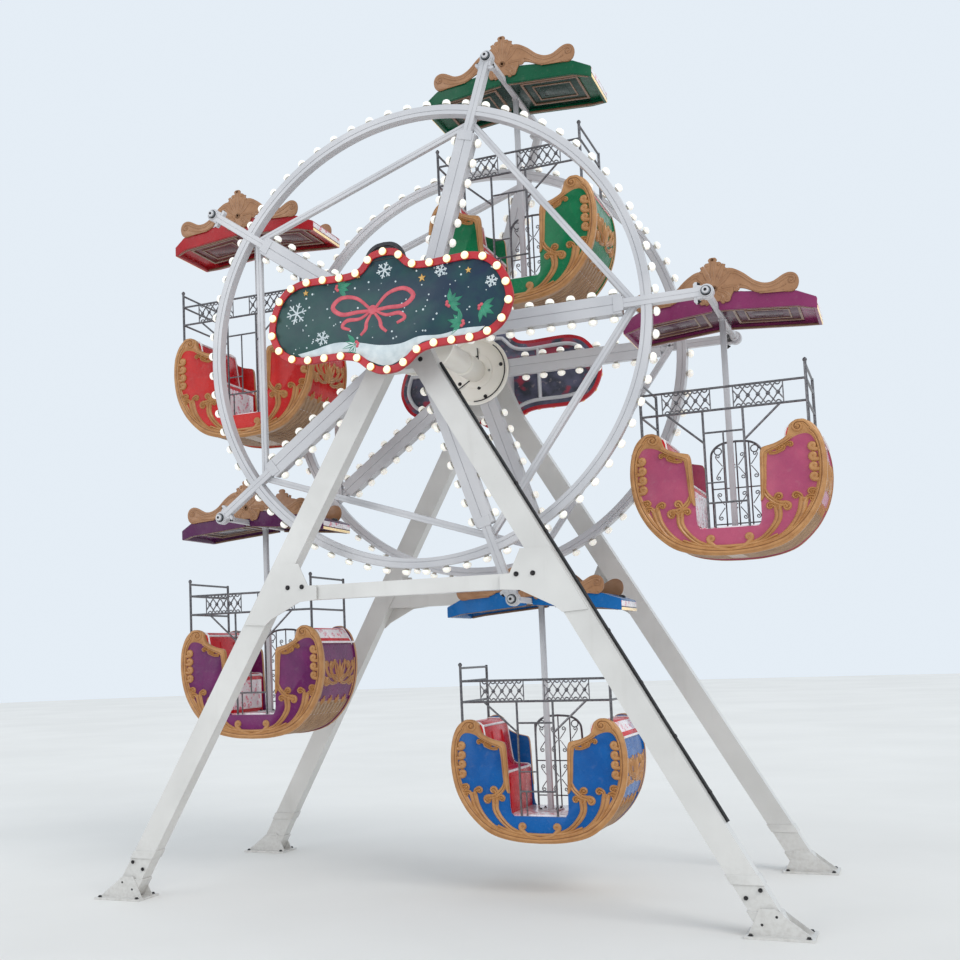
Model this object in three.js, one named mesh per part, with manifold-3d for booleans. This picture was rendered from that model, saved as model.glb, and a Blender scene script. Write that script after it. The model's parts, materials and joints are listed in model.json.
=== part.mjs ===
// A small ferris wheel: two parallel five-armed wheels between two A-frames, with five hanging cabins.
// Millimetres. +X is to the right seen from the front, +Y to the back, +Z up. The wheel axis runs along Y.
import * as THREE from "three";
import { mergeVertices } from "three/addons/utils/BufferGeometryUtils.js";
import Module from "manifold-3d";

const wasm = await Module();
wasm.setup();

// Driving dimensions
const AXIS_Z = 4124; // wheel axis above the ground
const AXIS_X = -102.5; // puts the middle of the overall box at X = 0
const PIVOT_R = 2100; // cabin pins from the wheel axis
const ARMS = 5;
const FIRST_ARM = 72.1; // degrees from +X, anticlockwise seen from the front
const GAP = 0.3; // between pieces that are bolted or rest on one another

// Wheels: both lie between these distances from the middle plane
const WHEEL_IN = 665;
const WHEEL_OUT = 745;
const RING_R = 1698;
const RING_WIDTH = 80;
const ARM_START = 175;
const ARM_WIDTH = 145;
const ARM_STEP = 1532; // where the wide arm ends and the narrow bar goes on
const BAR_WIDTH = 70;
const BAR_IN = 685;
const BAR_OUT = 749;
const TIP_R = 50; // bearing housing round a cabin pin
const BASE_HALF = 72; // half the length of the bearing's base, which lies across the arm
const PIN_R = 24; // cabin pins in the arm tips
const TIP_BORE = PIN_R + 0.55;
const TIP_OUT = 775;
const BRACE_R = 1650; // outer corners of the pentagon of braces
const BRACE_WIDTH = 50;
const BRACE_OUT = 715;
const HUB_R = 290;
const HUB_IN = 645;
const BOSS_R = 130;
const BOSS_OUT = 785;
const JOURNAL_R = 50;
const SHAFT_R = 95;
const SHAFT_END = 1053;

// A-frames
const FRAME_Y = 998; // middle of the legs at the head
const FOOT_Y = 1161; // middle of the legs at the feet
const FOOT_X = 2360;
const LEG_WIDTH = 160;
const LEG_DEPTH = 120;
const HEAD_LOW = 3794;
const HEAD_TOP = 4284;
const PLATE_T = 14;
const BEAM_Z = 2233;
const BEAM_HEIGHT = 105;
const GUSSET_T = 10;
const SIGN_IN = 1270;
const SIGN_OUT = 1340;

// Cabins, from their pin down
const CROSSBAR = 40;
const FLOOR = -1563;
const TUB_Y = 325;
const PANEL_T = 25;
const SHELL_T = 15;
const ROOF_X = 665;
const ROOF_Y = 320;
const CREST_T = 20;
const GUARD_X = 560;
const GUARD_Y = 313;
const IRON = 16;
const GATE_X = 135; // half width of the bars in the near doorway
const ARCH_X = 183; // half width of the arched gate in the far doorway

// Half outline of the tub's side panel, from the bottom middle round the outside up to the horn
const TUB_OUTER = [
  [0, -1757],
  [152, -1751],
  [304, -1721],
  [415, -1668],
  [527, -1561],
  [600, -1444],
  [638, -1340],
  [656, -1229],
  [658, -1130],
  [646, -1036],
  [620, -953],
  [582, -898],
  [537, -873],
];
// and from the horn down the inside to the bottom middle of the doorway
const TUB_INNER = [
  [490, -889],
  [456, -926],
  [430, -970],
  [375, -997],
  [304, -1019],
  [253, -1026],
  [229, -1052],
  [215, -1538],
  [194, FLOOR],
];
// Half outline of a seat, from the front foot round the cushion and back rest, then down the shell
const SEAT = [
  [225, FLOOR + 7],
  [225, -1257],
  [240, -1240],
  [345, -1231],
  [400, -914],
  [450, -889],
  [555, -893],
];
// Half outline of the crest on the roof, from the middle of its top to its scroll end
const CREST = [
  [0, 346],
  [38, 329],
  [62, 300],
  [92, 255],
  [148, 242],
  [205, 205],
  [265, 149],
  [332, 114],
  [390, 114],
  [447, 145],
  [499, 164],
  [541, 149],
  [562, 104],
  [552, 48],
  [517, 18],
  [450, 28],
  [285, 45],
  [205, 88],
  [130, 84],
  [98, 35],
  [70, 6],
  [0, 6],
];
// Half outline of the sign plaque about the wheel axis, top to bottom
const SIGN = [
  [0, 498],
  [95, 482],
  [151, 431],
  [206, 374],
  [312, 359],
  [603, 365],
  [703, 355],
  [799, 304],
  [884, 190],
  [927, 37],
  [904, -65],
  [842, -172],
  [734, -236],
  [603, -255],
  [332, -255],
  [236, -279],
  [161, -347],
  [70, -395],
  [0, -402],
];

// Solids

function solid(geometry) {
  const bare = new THREE.BufferGeometry().setAttribute("position", geometry.getAttribute("position"));
  if (geometry.index) {
    bare.setIndex(geometry.index);
  }
  const merged = mergeVertices(bare, 1e-3);
  return new wasm.Manifold(
    new wasm.Mesh({
      numProp: 3,
      vertProperties: merged.attributes.position.array,
      triVerts: new Uint32Array(merged.index.array),
    }),
  );
}

function geometryOf(body) {
  const mesh = body.getMesh();
  const positions = new Float32Array(mesh.numVert * 3);
  for (let i = 0; i < mesh.numVert; i++) {
    positions.set(mesh.vertProperties.subarray(i * mesh.numProp, i * mesh.numProp + 3), i * 3);
  }
  const geometry = new THREE.BufferGeometry();
  geometry.setAttribute("position", new THREE.BufferAttribute(positions, 3));
  geometry.setIndex(new THREE.BufferAttribute(mesh.triVerts, 1));
  const flat = geometry.toNonIndexed();
  flat.computeVertexNormals();
  return flat;
}

// Boolean helpers: the first piece, with the others added or cut away
const joined = (first, ...rest) => rest.reduce((sum, piece) => sum.add(piece), first);
const cut = (first, ...rest) => rest.reduce((left, piece) => left.subtract(piece), first);

function box(x0, x1, y0, y1, z0, z1) {
  const geometry = new THREE.BoxGeometry(x1 - x0, Math.abs(y1 - y0), z1 - z0);
  geometry.translate((x0 + x1) / 2, (y0 + y1) / 2, (z0 + z1) / 2);
  return solid(geometry);
}

// An outline in X and Z, extruded along Y
function slab(points, y0, y1, holes = []) {
  const shape = new THREE.Shape(points.map(([x, z]) => new THREE.Vector2(x, z)));
  holes.forEach((hole) => shape.holes.push(new THREE.Path(hole.map(([x, z]) => new THREE.Vector2(x, z)))));
  const geometry = new THREE.ExtrudeGeometry(shape, { depth: Math.abs(y1 - y0), bevelEnabled: false });
  geometry.rotateX(Math.PI / 2);
  geometry.translate(0, Math.max(y0, y1), 0);
  return solid(geometry);
}

function circle(radius, count, x = 0, z = 0) {
  return Array.from({ length: count }, (_, i) => {
    const angle = (i * 2 * Math.PI) / count;
    return [x + radius * Math.cos(angle), z + radius * Math.sin(angle)];
  });
}

const disc = (radius, y0, y1, count = 32, x = 0, z = 0) => slab(circle(radius, count, x, z), y0, y1);

// A half outline and its mirror image, joined to one closed outline
function mirrored(half) {
  const other = half.filter(([x]) => x > 0.001).map(([x, z]) => [-x, z]);
  return [...half, ...other.reverse()];
}

// A half outline moved inwards by a distance, for open outlines that run round the tub
function inset(points, distance) {
  return points.map(([x, z], i) => {
    const before = points[Math.max(i - 1, 0)];
    const after = points[Math.min(i + 1, points.length - 1)];
    const run = Math.hypot(after[0] - before[0], after[1] - before[1]);
    const nx = -(after[1] - before[1]) / run;
    const nz = (after[0] - before[0]) / run;
    return [Math.max(x + nx * distance, 0), z + nz * distance];
  });
}

// A straight square bar between two points
function bar(from, to, width, depth = width) {
  const a = new THREE.Vector3(...from);
  const b = new THREE.Vector3(...to);
  const geometry = new THREE.BoxGeometry(width, depth, a.distanceTo(b));
  const along = b.clone().sub(a).normalize();
  const side = new THREE.Vector3(0, 1, 0);
  const across = Math.abs(along.y) > 0.9 ? new THREE.Vector3(1, 0, 0) : side.cross(along).normalize();
  const third = along.clone().cross(across).normalize();
  geometry.applyMatrix4(new THREE.Matrix4().makeBasis(across, third, along));
  geometry.translate((a.x + b.x) / 2, (a.y + b.y) / 2, (a.z + b.z) / 2);
  return solid(geometry);
}

function ball(x, y, z, radius) {
  const geometry = new THREE.SphereGeometry(radius, 6, 4);
  geometry.deleteAttribute("normal");
  geometry.deleteAttribute("uv");
  geometry.translate(x, y, z);
  return solid(geometry);
}

// Materials

const paint = (color, roughness = 0.45, metalness = 0) =>
  new THREE.MeshStandardMaterial({ color, roughness, metalness });
const WHITE = paint(0xdfe1e4, 0.4);
const STEEL = paint(0x8f949a, 0.35, 0.9);
const RAIL_STEEL = paint(0x6a6c70, 0.4, 0.9);
const SIGN_RED = paint(0xa8222c);
const SEAT_RED = paint(0xb3202a, 0.6);
const CABIN_COLOURS = [0x0f6b46, 0xb3232b, 0x5b1f63, 0x0d4f9c, 0x9c3f6c];
const CABIN_PAINT = CABIN_COLOURS.map((color) => paint(color, 0.35));

const root = new THREE.Group();
root.name = "ferris_wheel";

function put(name, body, material, group = root) {
  const mesh = new THREE.Mesh(geometryOf(body).translate(AXIS_X, 0, 0), material);
  mesh.name = name;
  group.add(mesh);
}

// A-frames

const LEG_TAN = FOOT_X / AXIS_Z; // sideways run of a leg for each unit of height
const legX = (z) => (AXIS_Z - z) * LEG_TAN;
const LEG_HALF = (LEG_WIDTH / 2) * Math.hypot(1, LEG_TAN);

// Legs, beams and gussets are drawn upright and then leant outwards towards the feet
function leant(body, side) {
  const lean = (FOOT_Y - FRAME_Y) / HEAD_LOW;
  const matrix = new THREE.Matrix4().set(
    1, 0, 0, 0,
    0, 1, -side * lean, side * (FRAME_Y + lean * HEAD_LOW),
    0, 0, 1, 0,
    0, 0, 0, 1,
  );
  const geometry = geometryOf(body);
  geometry.applyMatrix4(matrix);
  return solid(geometry);
}

function leg(side, hand) {
  const low = PLATE_T;
  const high = HEAD_LOW - GAP;
  const outline = [
    [hand * (legX(low) - LEG_HALF), low],
    [hand * (legX(low) + LEG_HALF), low],
    [hand * (legX(high) + LEG_HALF), high],
    [hand * (legX(high) - LEG_HALF), high],
  ];
  const post = leant(slab(hand > 0 ? outline : outline.reverse(), -LEG_DEPTH / 2, LEG_DEPTH / 2), side);
  const x = hand * FOOT_X;
  const y = side * FOOT_Y;
  const foot = box(x - 200, x + 200, y - 140, y + 140, 0, PLATE_T + 1);
  const ribs = [-70, 70].map((dy) =>
    slab(
      [
        [x - hand * 185, PLATE_T],
        [x + hand * 185, PLATE_T],
        [x - hand * 20, 170],
        [x - hand * 110, 170],
      ],
      y + dy - 5,
      y + dy + 5,
    ),
  );
  return joined(post, foot, ...ribs);
}

function crossbeam(side) {
  const low = BEAM_Z - BEAM_HEIGHT / 2;
  const high = BEAM_Z + BEAM_HEIGHT / 2;
  const half = [
    [legX(low) - LEG_HALF - 0.5, low],
    [legX(high) - LEG_HALF - 0.5, high],
  ];
  const tube = slab(mirrored(half), -50, 50);
  const face = side * (LEG_DEPTH / 2 + GAP);
  const gussets = [-1, 1].map((hand) => {
    const top = BEAM_Z + 215;
    const bottom = BEAM_Z - 225;
    const outline = [
      [hand * (legX(top) + LEG_HALF - 8), top],
      [hand * (legX(top) - LEG_HALF - 30), top + 2],
      [hand * 760, high],
      [hand * 690, high - 10],
      [hand * 690, low],
      [hand * 830, low - 12],
      [hand * (legX(bottom + 60) - LEG_HALF - 25), bottom + 45],
      [hand * (legX(bottom) - LEG_HALF - 6), bottom],
      [hand * (legX(bottom) + LEG_HALF - 20), bottom + 12],
    ];
    const plate = slab(outline, face, face + side * GUSSET_T);
    const web = slab(
      [
        [hand * 700, low],
        [hand * 955, low],
        [hand * 955, high],
        [hand * 700, high],
      ],
      side * 40,
      face + side,
    );
    return plate.add(web);
  });
  return leant(joined(tube, ...gussets), side);
}

function head(side) {
  const spread = legX(HEAD_LOW) + LEG_HALF;
  const half = [
    [spread, HEAD_LOW],
    [spread - 170, HEAD_TOP - 60],
    [spread - 215, HEAD_TOP],
  ];
  const block = slab(mirrored(half), side * (FRAME_Y - 60), side * (FRAME_Y + 60));
  const collar = disc(115, side * (FRAME_Y - 85), side * FRAME_Y, 32, 0, AXIS_Z);
  const bore = disc(JOURNAL_R + 0.6, side * (FRAME_Y - 100), side * (FRAME_Y + 70), 32, 0, AXIS_Z);
  return cut(block.add(collar), bore);
}

function sign(side) {
  const plaque = slab(
    mirrored(SIGN).map(([x, z]) => [x, z + AXIS_Z]),
    side * SIGN_IN,
    side * SIGN_OUT,
  );
  const seat = FRAME_Y + 60 + GAP;
  const stand = box(-150, 150, side * seat, side * (SIGN_IN + 5), AXIS_Z - 190, AXIS_Z + 110);
  return plaque.add(stand);
}

[["front", -1], ["back", 1]].forEach(([name, side]) => {
  put(`leg_${name}_left`, leg(side, -1), WHITE);
  put(`leg_${name}_right`, leg(side, 1), WHITE);
  put(`crossbeam_${name}`, crossbeam(side), WHITE);
  put(`head_${name}`, head(side), WHITE);
  put(`sign_${name}`, sign(side), SIGN_RED);
});

// Wheels, drawn about the origin and lifted to the axis

const onAxis = (body) => {
  const geometry = geometryOf(body);
  geometry.translate(0, 0, AXIS_Z);
  return solid(geometry);
};

// Turned about the wheel axis, anticlockwise seen from the front
const turned = (body, degrees) => {
  const geometry = geometryOf(body);
  geometry.rotateY(-THREE.MathUtils.degToRad(degrees));
  return solid(geometry);
};

const armAngle = (k) => FIRST_ARM + (k * 360) / ARMS;
const allArms = Array.from({ length: ARMS }, (_, k) => k);

function mainShaft() {
  const drum = disc(SHAFT_R, -(HUB_IN - GAP), HUB_IN - GAP, 24);
  return drum.add(disc(JOURNAL_R, -SHAFT_END, SHAFT_END));
}

function hub(side) {
  const plate = disc(HUB_R, side * HUB_IN, side * (WHEEL_IN - GAP), 40);
  const boss = disc(BOSS_R, side * HUB_IN, side * BOSS_OUT);
  return cut(plate.add(boss), disc(JOURNAL_R + 0.5, -800, 800));
}

// Where the narrow bars of the arms pass, so rings and braces are let in round them
function barSlots(side) {
  const slot = box(ARM_STEP - 20, 1800, side * (BAR_IN - GAP), side * (BAR_OUT + 20), -BAR_WIDTH / 2 - 0.5, BAR_WIDTH / 2 + 0.5);
  return allArms.map((k) => turned(slot, armAngle(k)));
}

function ring(side) {
  const outer = circle(RING_R + RING_WIDTH / 2, 70);
  const inner = circle(RING_R - RING_WIDTH / 2, 70).reverse();
  return cut(slab(outer, side * WHEEL_IN, side * WHEEL_OUT, [inner]), ...barSlots(side));
}

function braces(side) {
  const outer = circle(BRACE_R, ARMS);
  const inner = circle(BRACE_R - BRACE_WIDTH / Math.cos(Math.PI / ARMS), ARMS).reverse();
  const pentagon = turned(slab(outer, side * WHEEL_IN, side * BRACE_OUT, [inner]), FIRST_ARM);
  return cut(pentagon, ...barSlots(side));
}

function arm(side, k) {
  const half = ARM_WIDTH / 2;
  const wide = box(ARM_START, ARM_STEP, side * (WHEEL_IN + GAP), side * BAR_OUT, -half, half);
  const bar70 = box(ARM_STEP - 30, PIVOT_R - 20, side * BAR_IN, side * BAR_OUT, -BAR_WIDTH / 2, BAR_WIDTH / 2);
  const tip = disc(TIP_R, side * BAR_IN, side * TIP_OUT, 24, PIVOT_R, 0);
  const base = box(PIVOT_R - 84, PIVOT_R - 58, side * (BAR_IN + 8), side * (BAR_OUT - 12), -BASE_HALF, BASE_HALF);
  const bore = disc(TIP_BORE, side * (BAR_IN - 10), side * (TIP_OUT + 10), 24, PIVOT_R, 0);
  return turned(cut(joined(wide, bar70, base, tip), bore), armAngle(k));
}

put("main_shaft", onAxis(mainShaft()), STEEL);
[["front", -1], ["back", 1]].forEach(([name, side]) => {
  put(`hub_${name}`, onAxis(hub(side)), WHITE);
  put(`ring_${name}`, onAxis(ring(side)), WHITE);
  put(`braces_${name}`, onAxis(braces(side)), WHITE);
  allArms.forEach((k) => put(`arm_${name}_${k + 1}`, onAxis(arm(side, k)), WHITE));
});

// Cabins, drawn about their pin and moved to it

function hanger() {
  const half = CROSSBAR / 2;
  const crossbar = box(-half, half, -645, 645, -half, half);
  const pins = [-1, 1].map((side) => disc(PIN_R, side * 635, side * 787, 16));
  const collars = [-1, 1].map((side) => disc(32, side * 640, side * 677, 16));
  const post = box(-half, half, -half, half, FLOOR + 16 + GAP, 0);
  const base = box(-80, 80, -80, 80, FLOOR + 8 + GAP, FLOOR + 18 + GAP);
  return joined(crossbar, ...pins, ...collars, post, base);
}

// The roof's plan with cut corners, as corners of a level outline
function roofPlan(halfX, halfY, cornerX, cornerY) {
  const quarter = [
    [halfX, halfY - cornerY],
    [halfX - cornerX, halfY],
  ];
  const rear = quarter.map(([x, y]) => [-x, y]).reverse();
  const upper = [...quarter, ...rear];
  return [...upper, ...upper.map(([x, y]) => [-x, -y])];
}

function level(points, z0, z1) {
  const shape = new THREE.Shape(points.map(([x, y]) => new THREE.Vector2(x, y)));
  const geometry = new THREE.ExtrudeGeometry(shape, { depth: z1 - z0, bevelEnabled: false });
  geometry.translate(0, 0, z0);
  return solid(geometry);
}

// A low hipped top: the level outline drawn in towards the middle at its upper side
function hipped(points, z0, z1, shrinkX, shrinkY) {
  const shape = new THREE.Shape(points.map(([x, y]) => new THREE.Vector2(x, y)));
  const geometry = new THREE.ExtrudeGeometry(shape, { depth: z1 - z0, bevelEnabled: false });
  const position = geometry.getAttribute("position");
  for (let i = 0; i < position.count; i++) {
    if (position.getZ(i) > 0.5 * (z1 - z0)) {
      position.setX(i, position.getX(i) * shrinkX);
      position.setY(i, position.getY(i) * shrinkY);
    }
  }
  geometry.translate(0, 0, z0);
  return solid(geometry);
}

// Half outlines in X and Z of the rim and of the hollow under it, both higher in the middle than at the ends
const RIM = [
  [0, 105],
  [540, 30],
  [700, -31],
  [700, -104],
  [540, -76],
  [0, -30],
];
const UNDERSIDE = [
  [0, 8],
  [540, -38],
  [700, -66],
  [700, -200],
  [0, -200],
];

function roof() {
  const plan = roofPlan(ROOF_X, ROOF_Y, 125, 60);
  const under = roofPlan(ROOF_X - 26, ROOF_Y - 22, 118, 54);
  const rim = slab(mirrored(RIM), -ROOF_Y - 10, ROOF_Y + 10).intersect(level(plan, -150, 150));
  const top = hipped(roofPlan(ROOF_X - 4, ROOF_Y - 4, 125, 60), -30, 130, 0.62, 0.4);
  const hollow = slab(mirrored(UNDERSIDE), -ROOF_Y, ROOF_Y).intersect(level(under, -250, 50));
  const channel = box(-45, 45, -500, 500, -200, CROSSBAR / 2 + GAP);
  const crests = [-1, 1].map((side) => slab(mirrored(CREST), side * (ROOF_Y - 5), side * (ROOF_Y + CREST_T)));
  return cut(joined(rim, top, ...crests), hollow, channel);
}

function tub() {
  const panelOutline = mirrored([...TUB_OUTER, ...TUB_INNER]);
  const panels = [-1, 1].map((side) => slab(panelOutline, side * (TUB_Y - PANEL_T), side * TUB_Y));
  const shellOuter = TUB_OUTER.slice(0, 9);
  const shellInner = inset(shellOuter, SHELL_T);
  const shell = slab(mirrored([...shellOuter, ...shellInner.slice().reverse()]), -(TUB_Y - PANEL_T + 2), TUB_Y - PANEL_T + 2);
  const belly = TUB_OUTER.filter(([, z]) => z < FLOOR + 1);
  const bed = slab(
    mirrored([...belly, [510, FLOOR]]),
    -(TUB_Y - PANEL_T + 2),
    TUB_Y - PANEL_T + 2,
  );
  return joined(panels[0], panels[1], shell, bed);
}

function seats() {
  const reach = TUB_Y - PANEL_T - GAP;
  const backs = inset(TUB_OUTER.slice(4, 10), SHELL_T + 4).filter(([, z]) => z > FLOOR + 14);
  const half = [...SEAT, [606, -975], ...backs.reverse(), [490, FLOOR + 7]];
  const right = slab(half, -reach, reach);
  const left = slab(half.map(([x, z]) => [-x, z]).reverse(), -reach, reach);
  const mat = box(-480, 480, -reach, reach, FLOOR + GAP, FLOOR + 8);
  return joined(mat, left, right);
}

// The railing: bars in the near doorway, rails over them, and three rails across each end of the cabin
function guard() {
  const near = -GUARD_Y;
  const bars = [-1, 1].flatMap((hand) => [
    bar([hand * GUARD_X, near, -880], [hand * GUARD_X, near, -465], IRON),
    ball(hand * GUARD_X, near, -458, 15),
    bar([hand * GUARD_X, GUARD_Y, -880], [hand * GUARD_X, GUARD_Y, -472], IRON),
    bar([hand * GATE_X, near, FLOOR + GAP], [hand * GATE_X, near, -734], IRON),
    bar([hand * (GATE_X + 5), near, -958], [hand * 385, near, -738], IRON),
    ...[-480, -579, -734].map((z) => bar([hand * GUARD_X, near, z], [hand * GUARD_X, GUARD_Y, z], IRON)),
  ]);
  const rails = [-579, -734].map((z) => bar([-GUARD_X, near, z], [GUARD_X, near, z], IRON));
  return joined(...bars, ...rails, bar([-GATE_X, near, -892], [GATE_X, near, -892], IRON));
}

// The arched gate that closes the far doorway
function gate() {
  const arch = [
    [-ARCH_X, FLOOR + GAP],
    [-ARCH_X, -1008],
    [-165, -928],
    [-100, -882],
    [0, -871],
    [100, -882],
    [165, -928],
    [ARCH_X, -1008],
    [ARCH_X, FLOOR + GAP],
  ];
  const at = ([x, z]) => [x, GUARD_Y, z];
  const bars = arch.slice(1).map((end, i) => bar(at(arch[i]), at(end), IRON));
  const joints = arch.slice(1, -1).map(([x, z]) => ball(x, GUARD_Y, z, IRON / 2));
  return joined(...bars, ...joints, bar(at([0, FLOOR + GAP]), at([0, -871]), IRON));
}

const placed = (body, k) => {
  const angle = THREE.MathUtils.degToRad(armAngle(k));
  const geometry = geometryOf(body);
  geometry.translate(PIVOT_R * Math.cos(angle), 0, AXIS_Z + PIVOT_R * Math.sin(angle));
  return solid(geometry);
};

allArms.forEach((k) => {
  const name = `cabin_${k + 1}`;
  put(`${name}_hanger`, placed(hanger(), k), WHITE);
  put(`${name}_roof`, placed(roof(), k), CABIN_PAINT[k]);
  put(`${name}_tub`, placed(tub(), k), CABIN_PAINT[k]);
  put(`${name}_seats`, placed(seats(), k), SEAT_RED);
  put(`${name}_guard`, placed(guard(), k), RAIL_STEEL);
  put(`${name}_gate`, placed(gate(), k), RAIL_STEEL);
});

export default root;
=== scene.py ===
"""The looks of a small fairground ferris wheel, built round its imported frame.

Metres. +X is to the right seen from the front, +Y to the back, +Z up. Cabin pieces are drawn
about the cabin's pin and wheel pieces about the wheel axis, then moved to their places.
"""

import json
import math
import random

import bmesh
import bpy
import numpy as np
from mathutils import Matrix, Vector


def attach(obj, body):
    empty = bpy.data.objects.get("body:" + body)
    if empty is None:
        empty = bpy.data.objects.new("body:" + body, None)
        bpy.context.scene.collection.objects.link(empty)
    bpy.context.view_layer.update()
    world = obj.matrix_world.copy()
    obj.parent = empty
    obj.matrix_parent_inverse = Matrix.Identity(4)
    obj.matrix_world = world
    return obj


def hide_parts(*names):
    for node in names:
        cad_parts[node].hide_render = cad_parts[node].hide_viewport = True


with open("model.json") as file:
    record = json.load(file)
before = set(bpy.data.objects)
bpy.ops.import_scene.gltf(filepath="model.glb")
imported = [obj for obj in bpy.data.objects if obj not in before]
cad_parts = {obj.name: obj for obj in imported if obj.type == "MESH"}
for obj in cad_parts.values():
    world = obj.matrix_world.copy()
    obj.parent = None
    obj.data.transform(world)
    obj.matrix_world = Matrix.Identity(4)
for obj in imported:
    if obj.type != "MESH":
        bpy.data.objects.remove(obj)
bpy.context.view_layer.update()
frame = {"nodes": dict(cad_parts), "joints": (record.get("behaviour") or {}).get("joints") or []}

JOINTS = {joint["child"]: joint for joint in frame["joints"]}
AXIS = Vector(JOINTS["wheel"]["pos_m"])
ARMS = 5
PIVOTS = {k: Vector(JOINTS[f"cabin_{k}"]["pos_m"]) for k in range(1, ARMS + 1)}
SIDES = (("front", -1), ("back", 1))
BOTH = (-1, 1)
UP = (0, 0, 1)
BACK = (0, 1, 0)

# Wheels, from the wheel axis and from the middle plane
WHEEL_IN, WHEEL_OUT = 0.665, 0.745
RING_R, RING_WIDTH, RING_STEPS = 1.698, 0.080, 160
ARM_START, ARM_STEP, ARM_WIDTH = 0.175, 1.532, 0.145
BAR_IN, BAR_OUT, BAR_WIDTH = 0.685, 0.749, 0.070
PIVOT_R, TIP_R, BASE_HALF = 2.100, 0.050, 0.072
BRACE_R, BRACE_WIDTH, BRACE_OUT = 1.650, 0.050, 0.715
HUB_R, HUB_IN, BOSS_R, BOSS_OUT = 0.290, 0.645, 0.130, 0.785
HUB_BOLTS = ((0.023, 0.118), (0.127, -0.011), (0.028, -0.148), (-0.140, -0.096), (-0.120, 0.080),
             (0.226, 0.030), (0.080, -0.226))
SHAFT_R, COLLAR_Y, JOURNAL_R, SHAFT_END = 0.095, 0.300, 0.050, 1.053
RING_LAMPS, ARM_LAMPS = 70, 8
ARM_LAMP_START, ARM_LAMP_STEP = 0.42, 0.15

# The angle above which edges are shaded sharp, in degrees: on most pieces and on the wheels' flat bars
SHARP, FLAT_SHARP = 38, 18

# A-frames
FRAME_Y, FOOT_Y, FOOT_X, HEAD_LOW = 0.998, 1.161, 2.360, 3.794
LEG_TAN = FOOT_X / AXIS.z
LEG_SLOPE = math.atan(LEG_TAN)
LEAN = (FOOT_Y - FRAME_Y) / HEAD_LOW
LEG_WIDTH, LEG_DEPTH = 0.160, 0.120
LEG_HALF = LEG_WIDTH / 2 * math.hypot(1, LEG_TAN)
BEAM_Z, BEAM_BOLTS = 2.233, (-0.275, -0.160)
FOOT_BOLTS = ((-0.165, -0.11), (0.165, -0.11), (-0.165, 0.11), (0.165, 0.11))
CABLE_LOW, CABLE_R, CABLE_CLIPS = 0.62, 0.0115, 9

# The sleeves round a leg's foot: lower end, upper end and how much wider than the leg each one is
SLEEVES = ((0.020, 0.150, 0.022), (0.300, 0.360, 0.016))

# Signs, about the wheel axis
SIGN_IN, SIGN_FACE, SIGN_BAND = 1.270, 1.294, 0.052
SIGN_LAMPS, SIGN_LAMP_SCALE = 34, 0.88

# Cabins, from the pin down
FLOOR = -1.563
TUB_Y, PANEL_T, SHELL_T = 0.325, 0.025, 0.015
SHELL_TOP, SHELL_POINTS, SHELL_COLOURED = -1.002, 64, 26
SHELL_INSET, SHELL_SPREAD, SHELL_RELIEF = 0.012, 0.82, 0.70
TRIM_LIFT = 0.010
ROOF_X, ROOF_Y = 0.665, 0.320
FOLD_X, FOLD_Y, NOTCH_X, NOTCH_TOP = 0.540, 0.260, 0.0235, 0.0225
CREST_FACE, CREST_RELIEF = 0.3315, 0.55
GUARD_X, GUARD_Y, RAILS = 0.560, 0.313, (-0.579, -0.734)
GATE_X, ARCH_X, IRON_R = 0.135, 0.183, 0.0085
CELL, CELLS, LATTICE_START = 0.066, 5, 0.078
LATTICE_BAR = ((0, 0), (0.5, 0.60), (0.86, 1))
HANGER, CROSSBAR_END = 0.040, 0.645


# Curves and outlines

def catmull(points, steps):
    """A smooth curve through the points."""
    pts = np.array(points, float)
    pts = np.concatenate([[2 * pts[0] - pts[1]], pts, [2 * pts[-1] - pts[-2]]])
    out = []
    for p0, p1, p2, p3 in zip(pts, pts[1:], pts[2:], pts[3:]):
        for t in np.linspace(0, 1, steps, endpoint=False):
            out.append(0.5 * (2 * p1 + (p2 - p0) * t + (2 * p0 - 5 * p1 + 4 * p2 - p3) * t**2
                              + (3 * p1 - p0 - 3 * p2 + p3) * t**3))
    out.append(pts[-2])
    return np.array(out)


def run_of(path):
    """How far along a path each of its points lies."""
    return np.concatenate([[0], np.cumsum(np.linalg.norm(np.diff(path, axis=0), axis=1))])


def even(path, count):
    """The path again with that many points, spread evenly along it."""
    path = np.array(path, float)
    run = run_of(path)
    at = np.linspace(0, run[-1], count)
    return np.stack([np.interp(at, run, path[:, i]) for i in range(2)], axis=1)


def unit(vectors):
    """Vectors brought to length 1."""
    return vectors / np.maximum(np.linalg.norm(vectors, axis=-1, keepdims=True), 1e-9)


def to_left(vectors):
    """Vectors turned a quarter to the left."""
    return np.stack([-vectors[..., 1], vectors[..., 0]], axis=-1)


def normals_of(path, closed=False):
    """Unit normals to the left of a plane path."""
    path = np.array(path, float)
    tangent = np.roll(path, -1, 0) - np.roll(path, 1, 0) if closed else np.gradient(path, axis=0)
    return to_left(unit(tangent))


def inset(loop, distance):
    """A closed outline drawn in by a distance, with mitred corners."""
    loop = np.array(loop, float)
    x, y = loop.T
    turn = 1 if np.sum(x * np.roll(y, -1) - y * np.roll(x, -1)) > 0 else -1
    before = to_left(unit(loop - np.roll(loop, 1, 0)))
    after = to_left(unit(np.roll(loop, -1, 0) - loop))
    mid = unit(before + after)
    reach = 1 / np.clip(np.sum(mid * before, axis=1), 0.5, 1)
    return loop + turn * distance * mid * reach[:, None]


def mirrored(half):
    """A half outline joined to its mirror image in x = 0."""
    half = np.array(half, float)
    other = half[half[:, 0] > 1e-4] * (-1, 1)
    return np.concatenate([half, other[::-1]])


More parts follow.
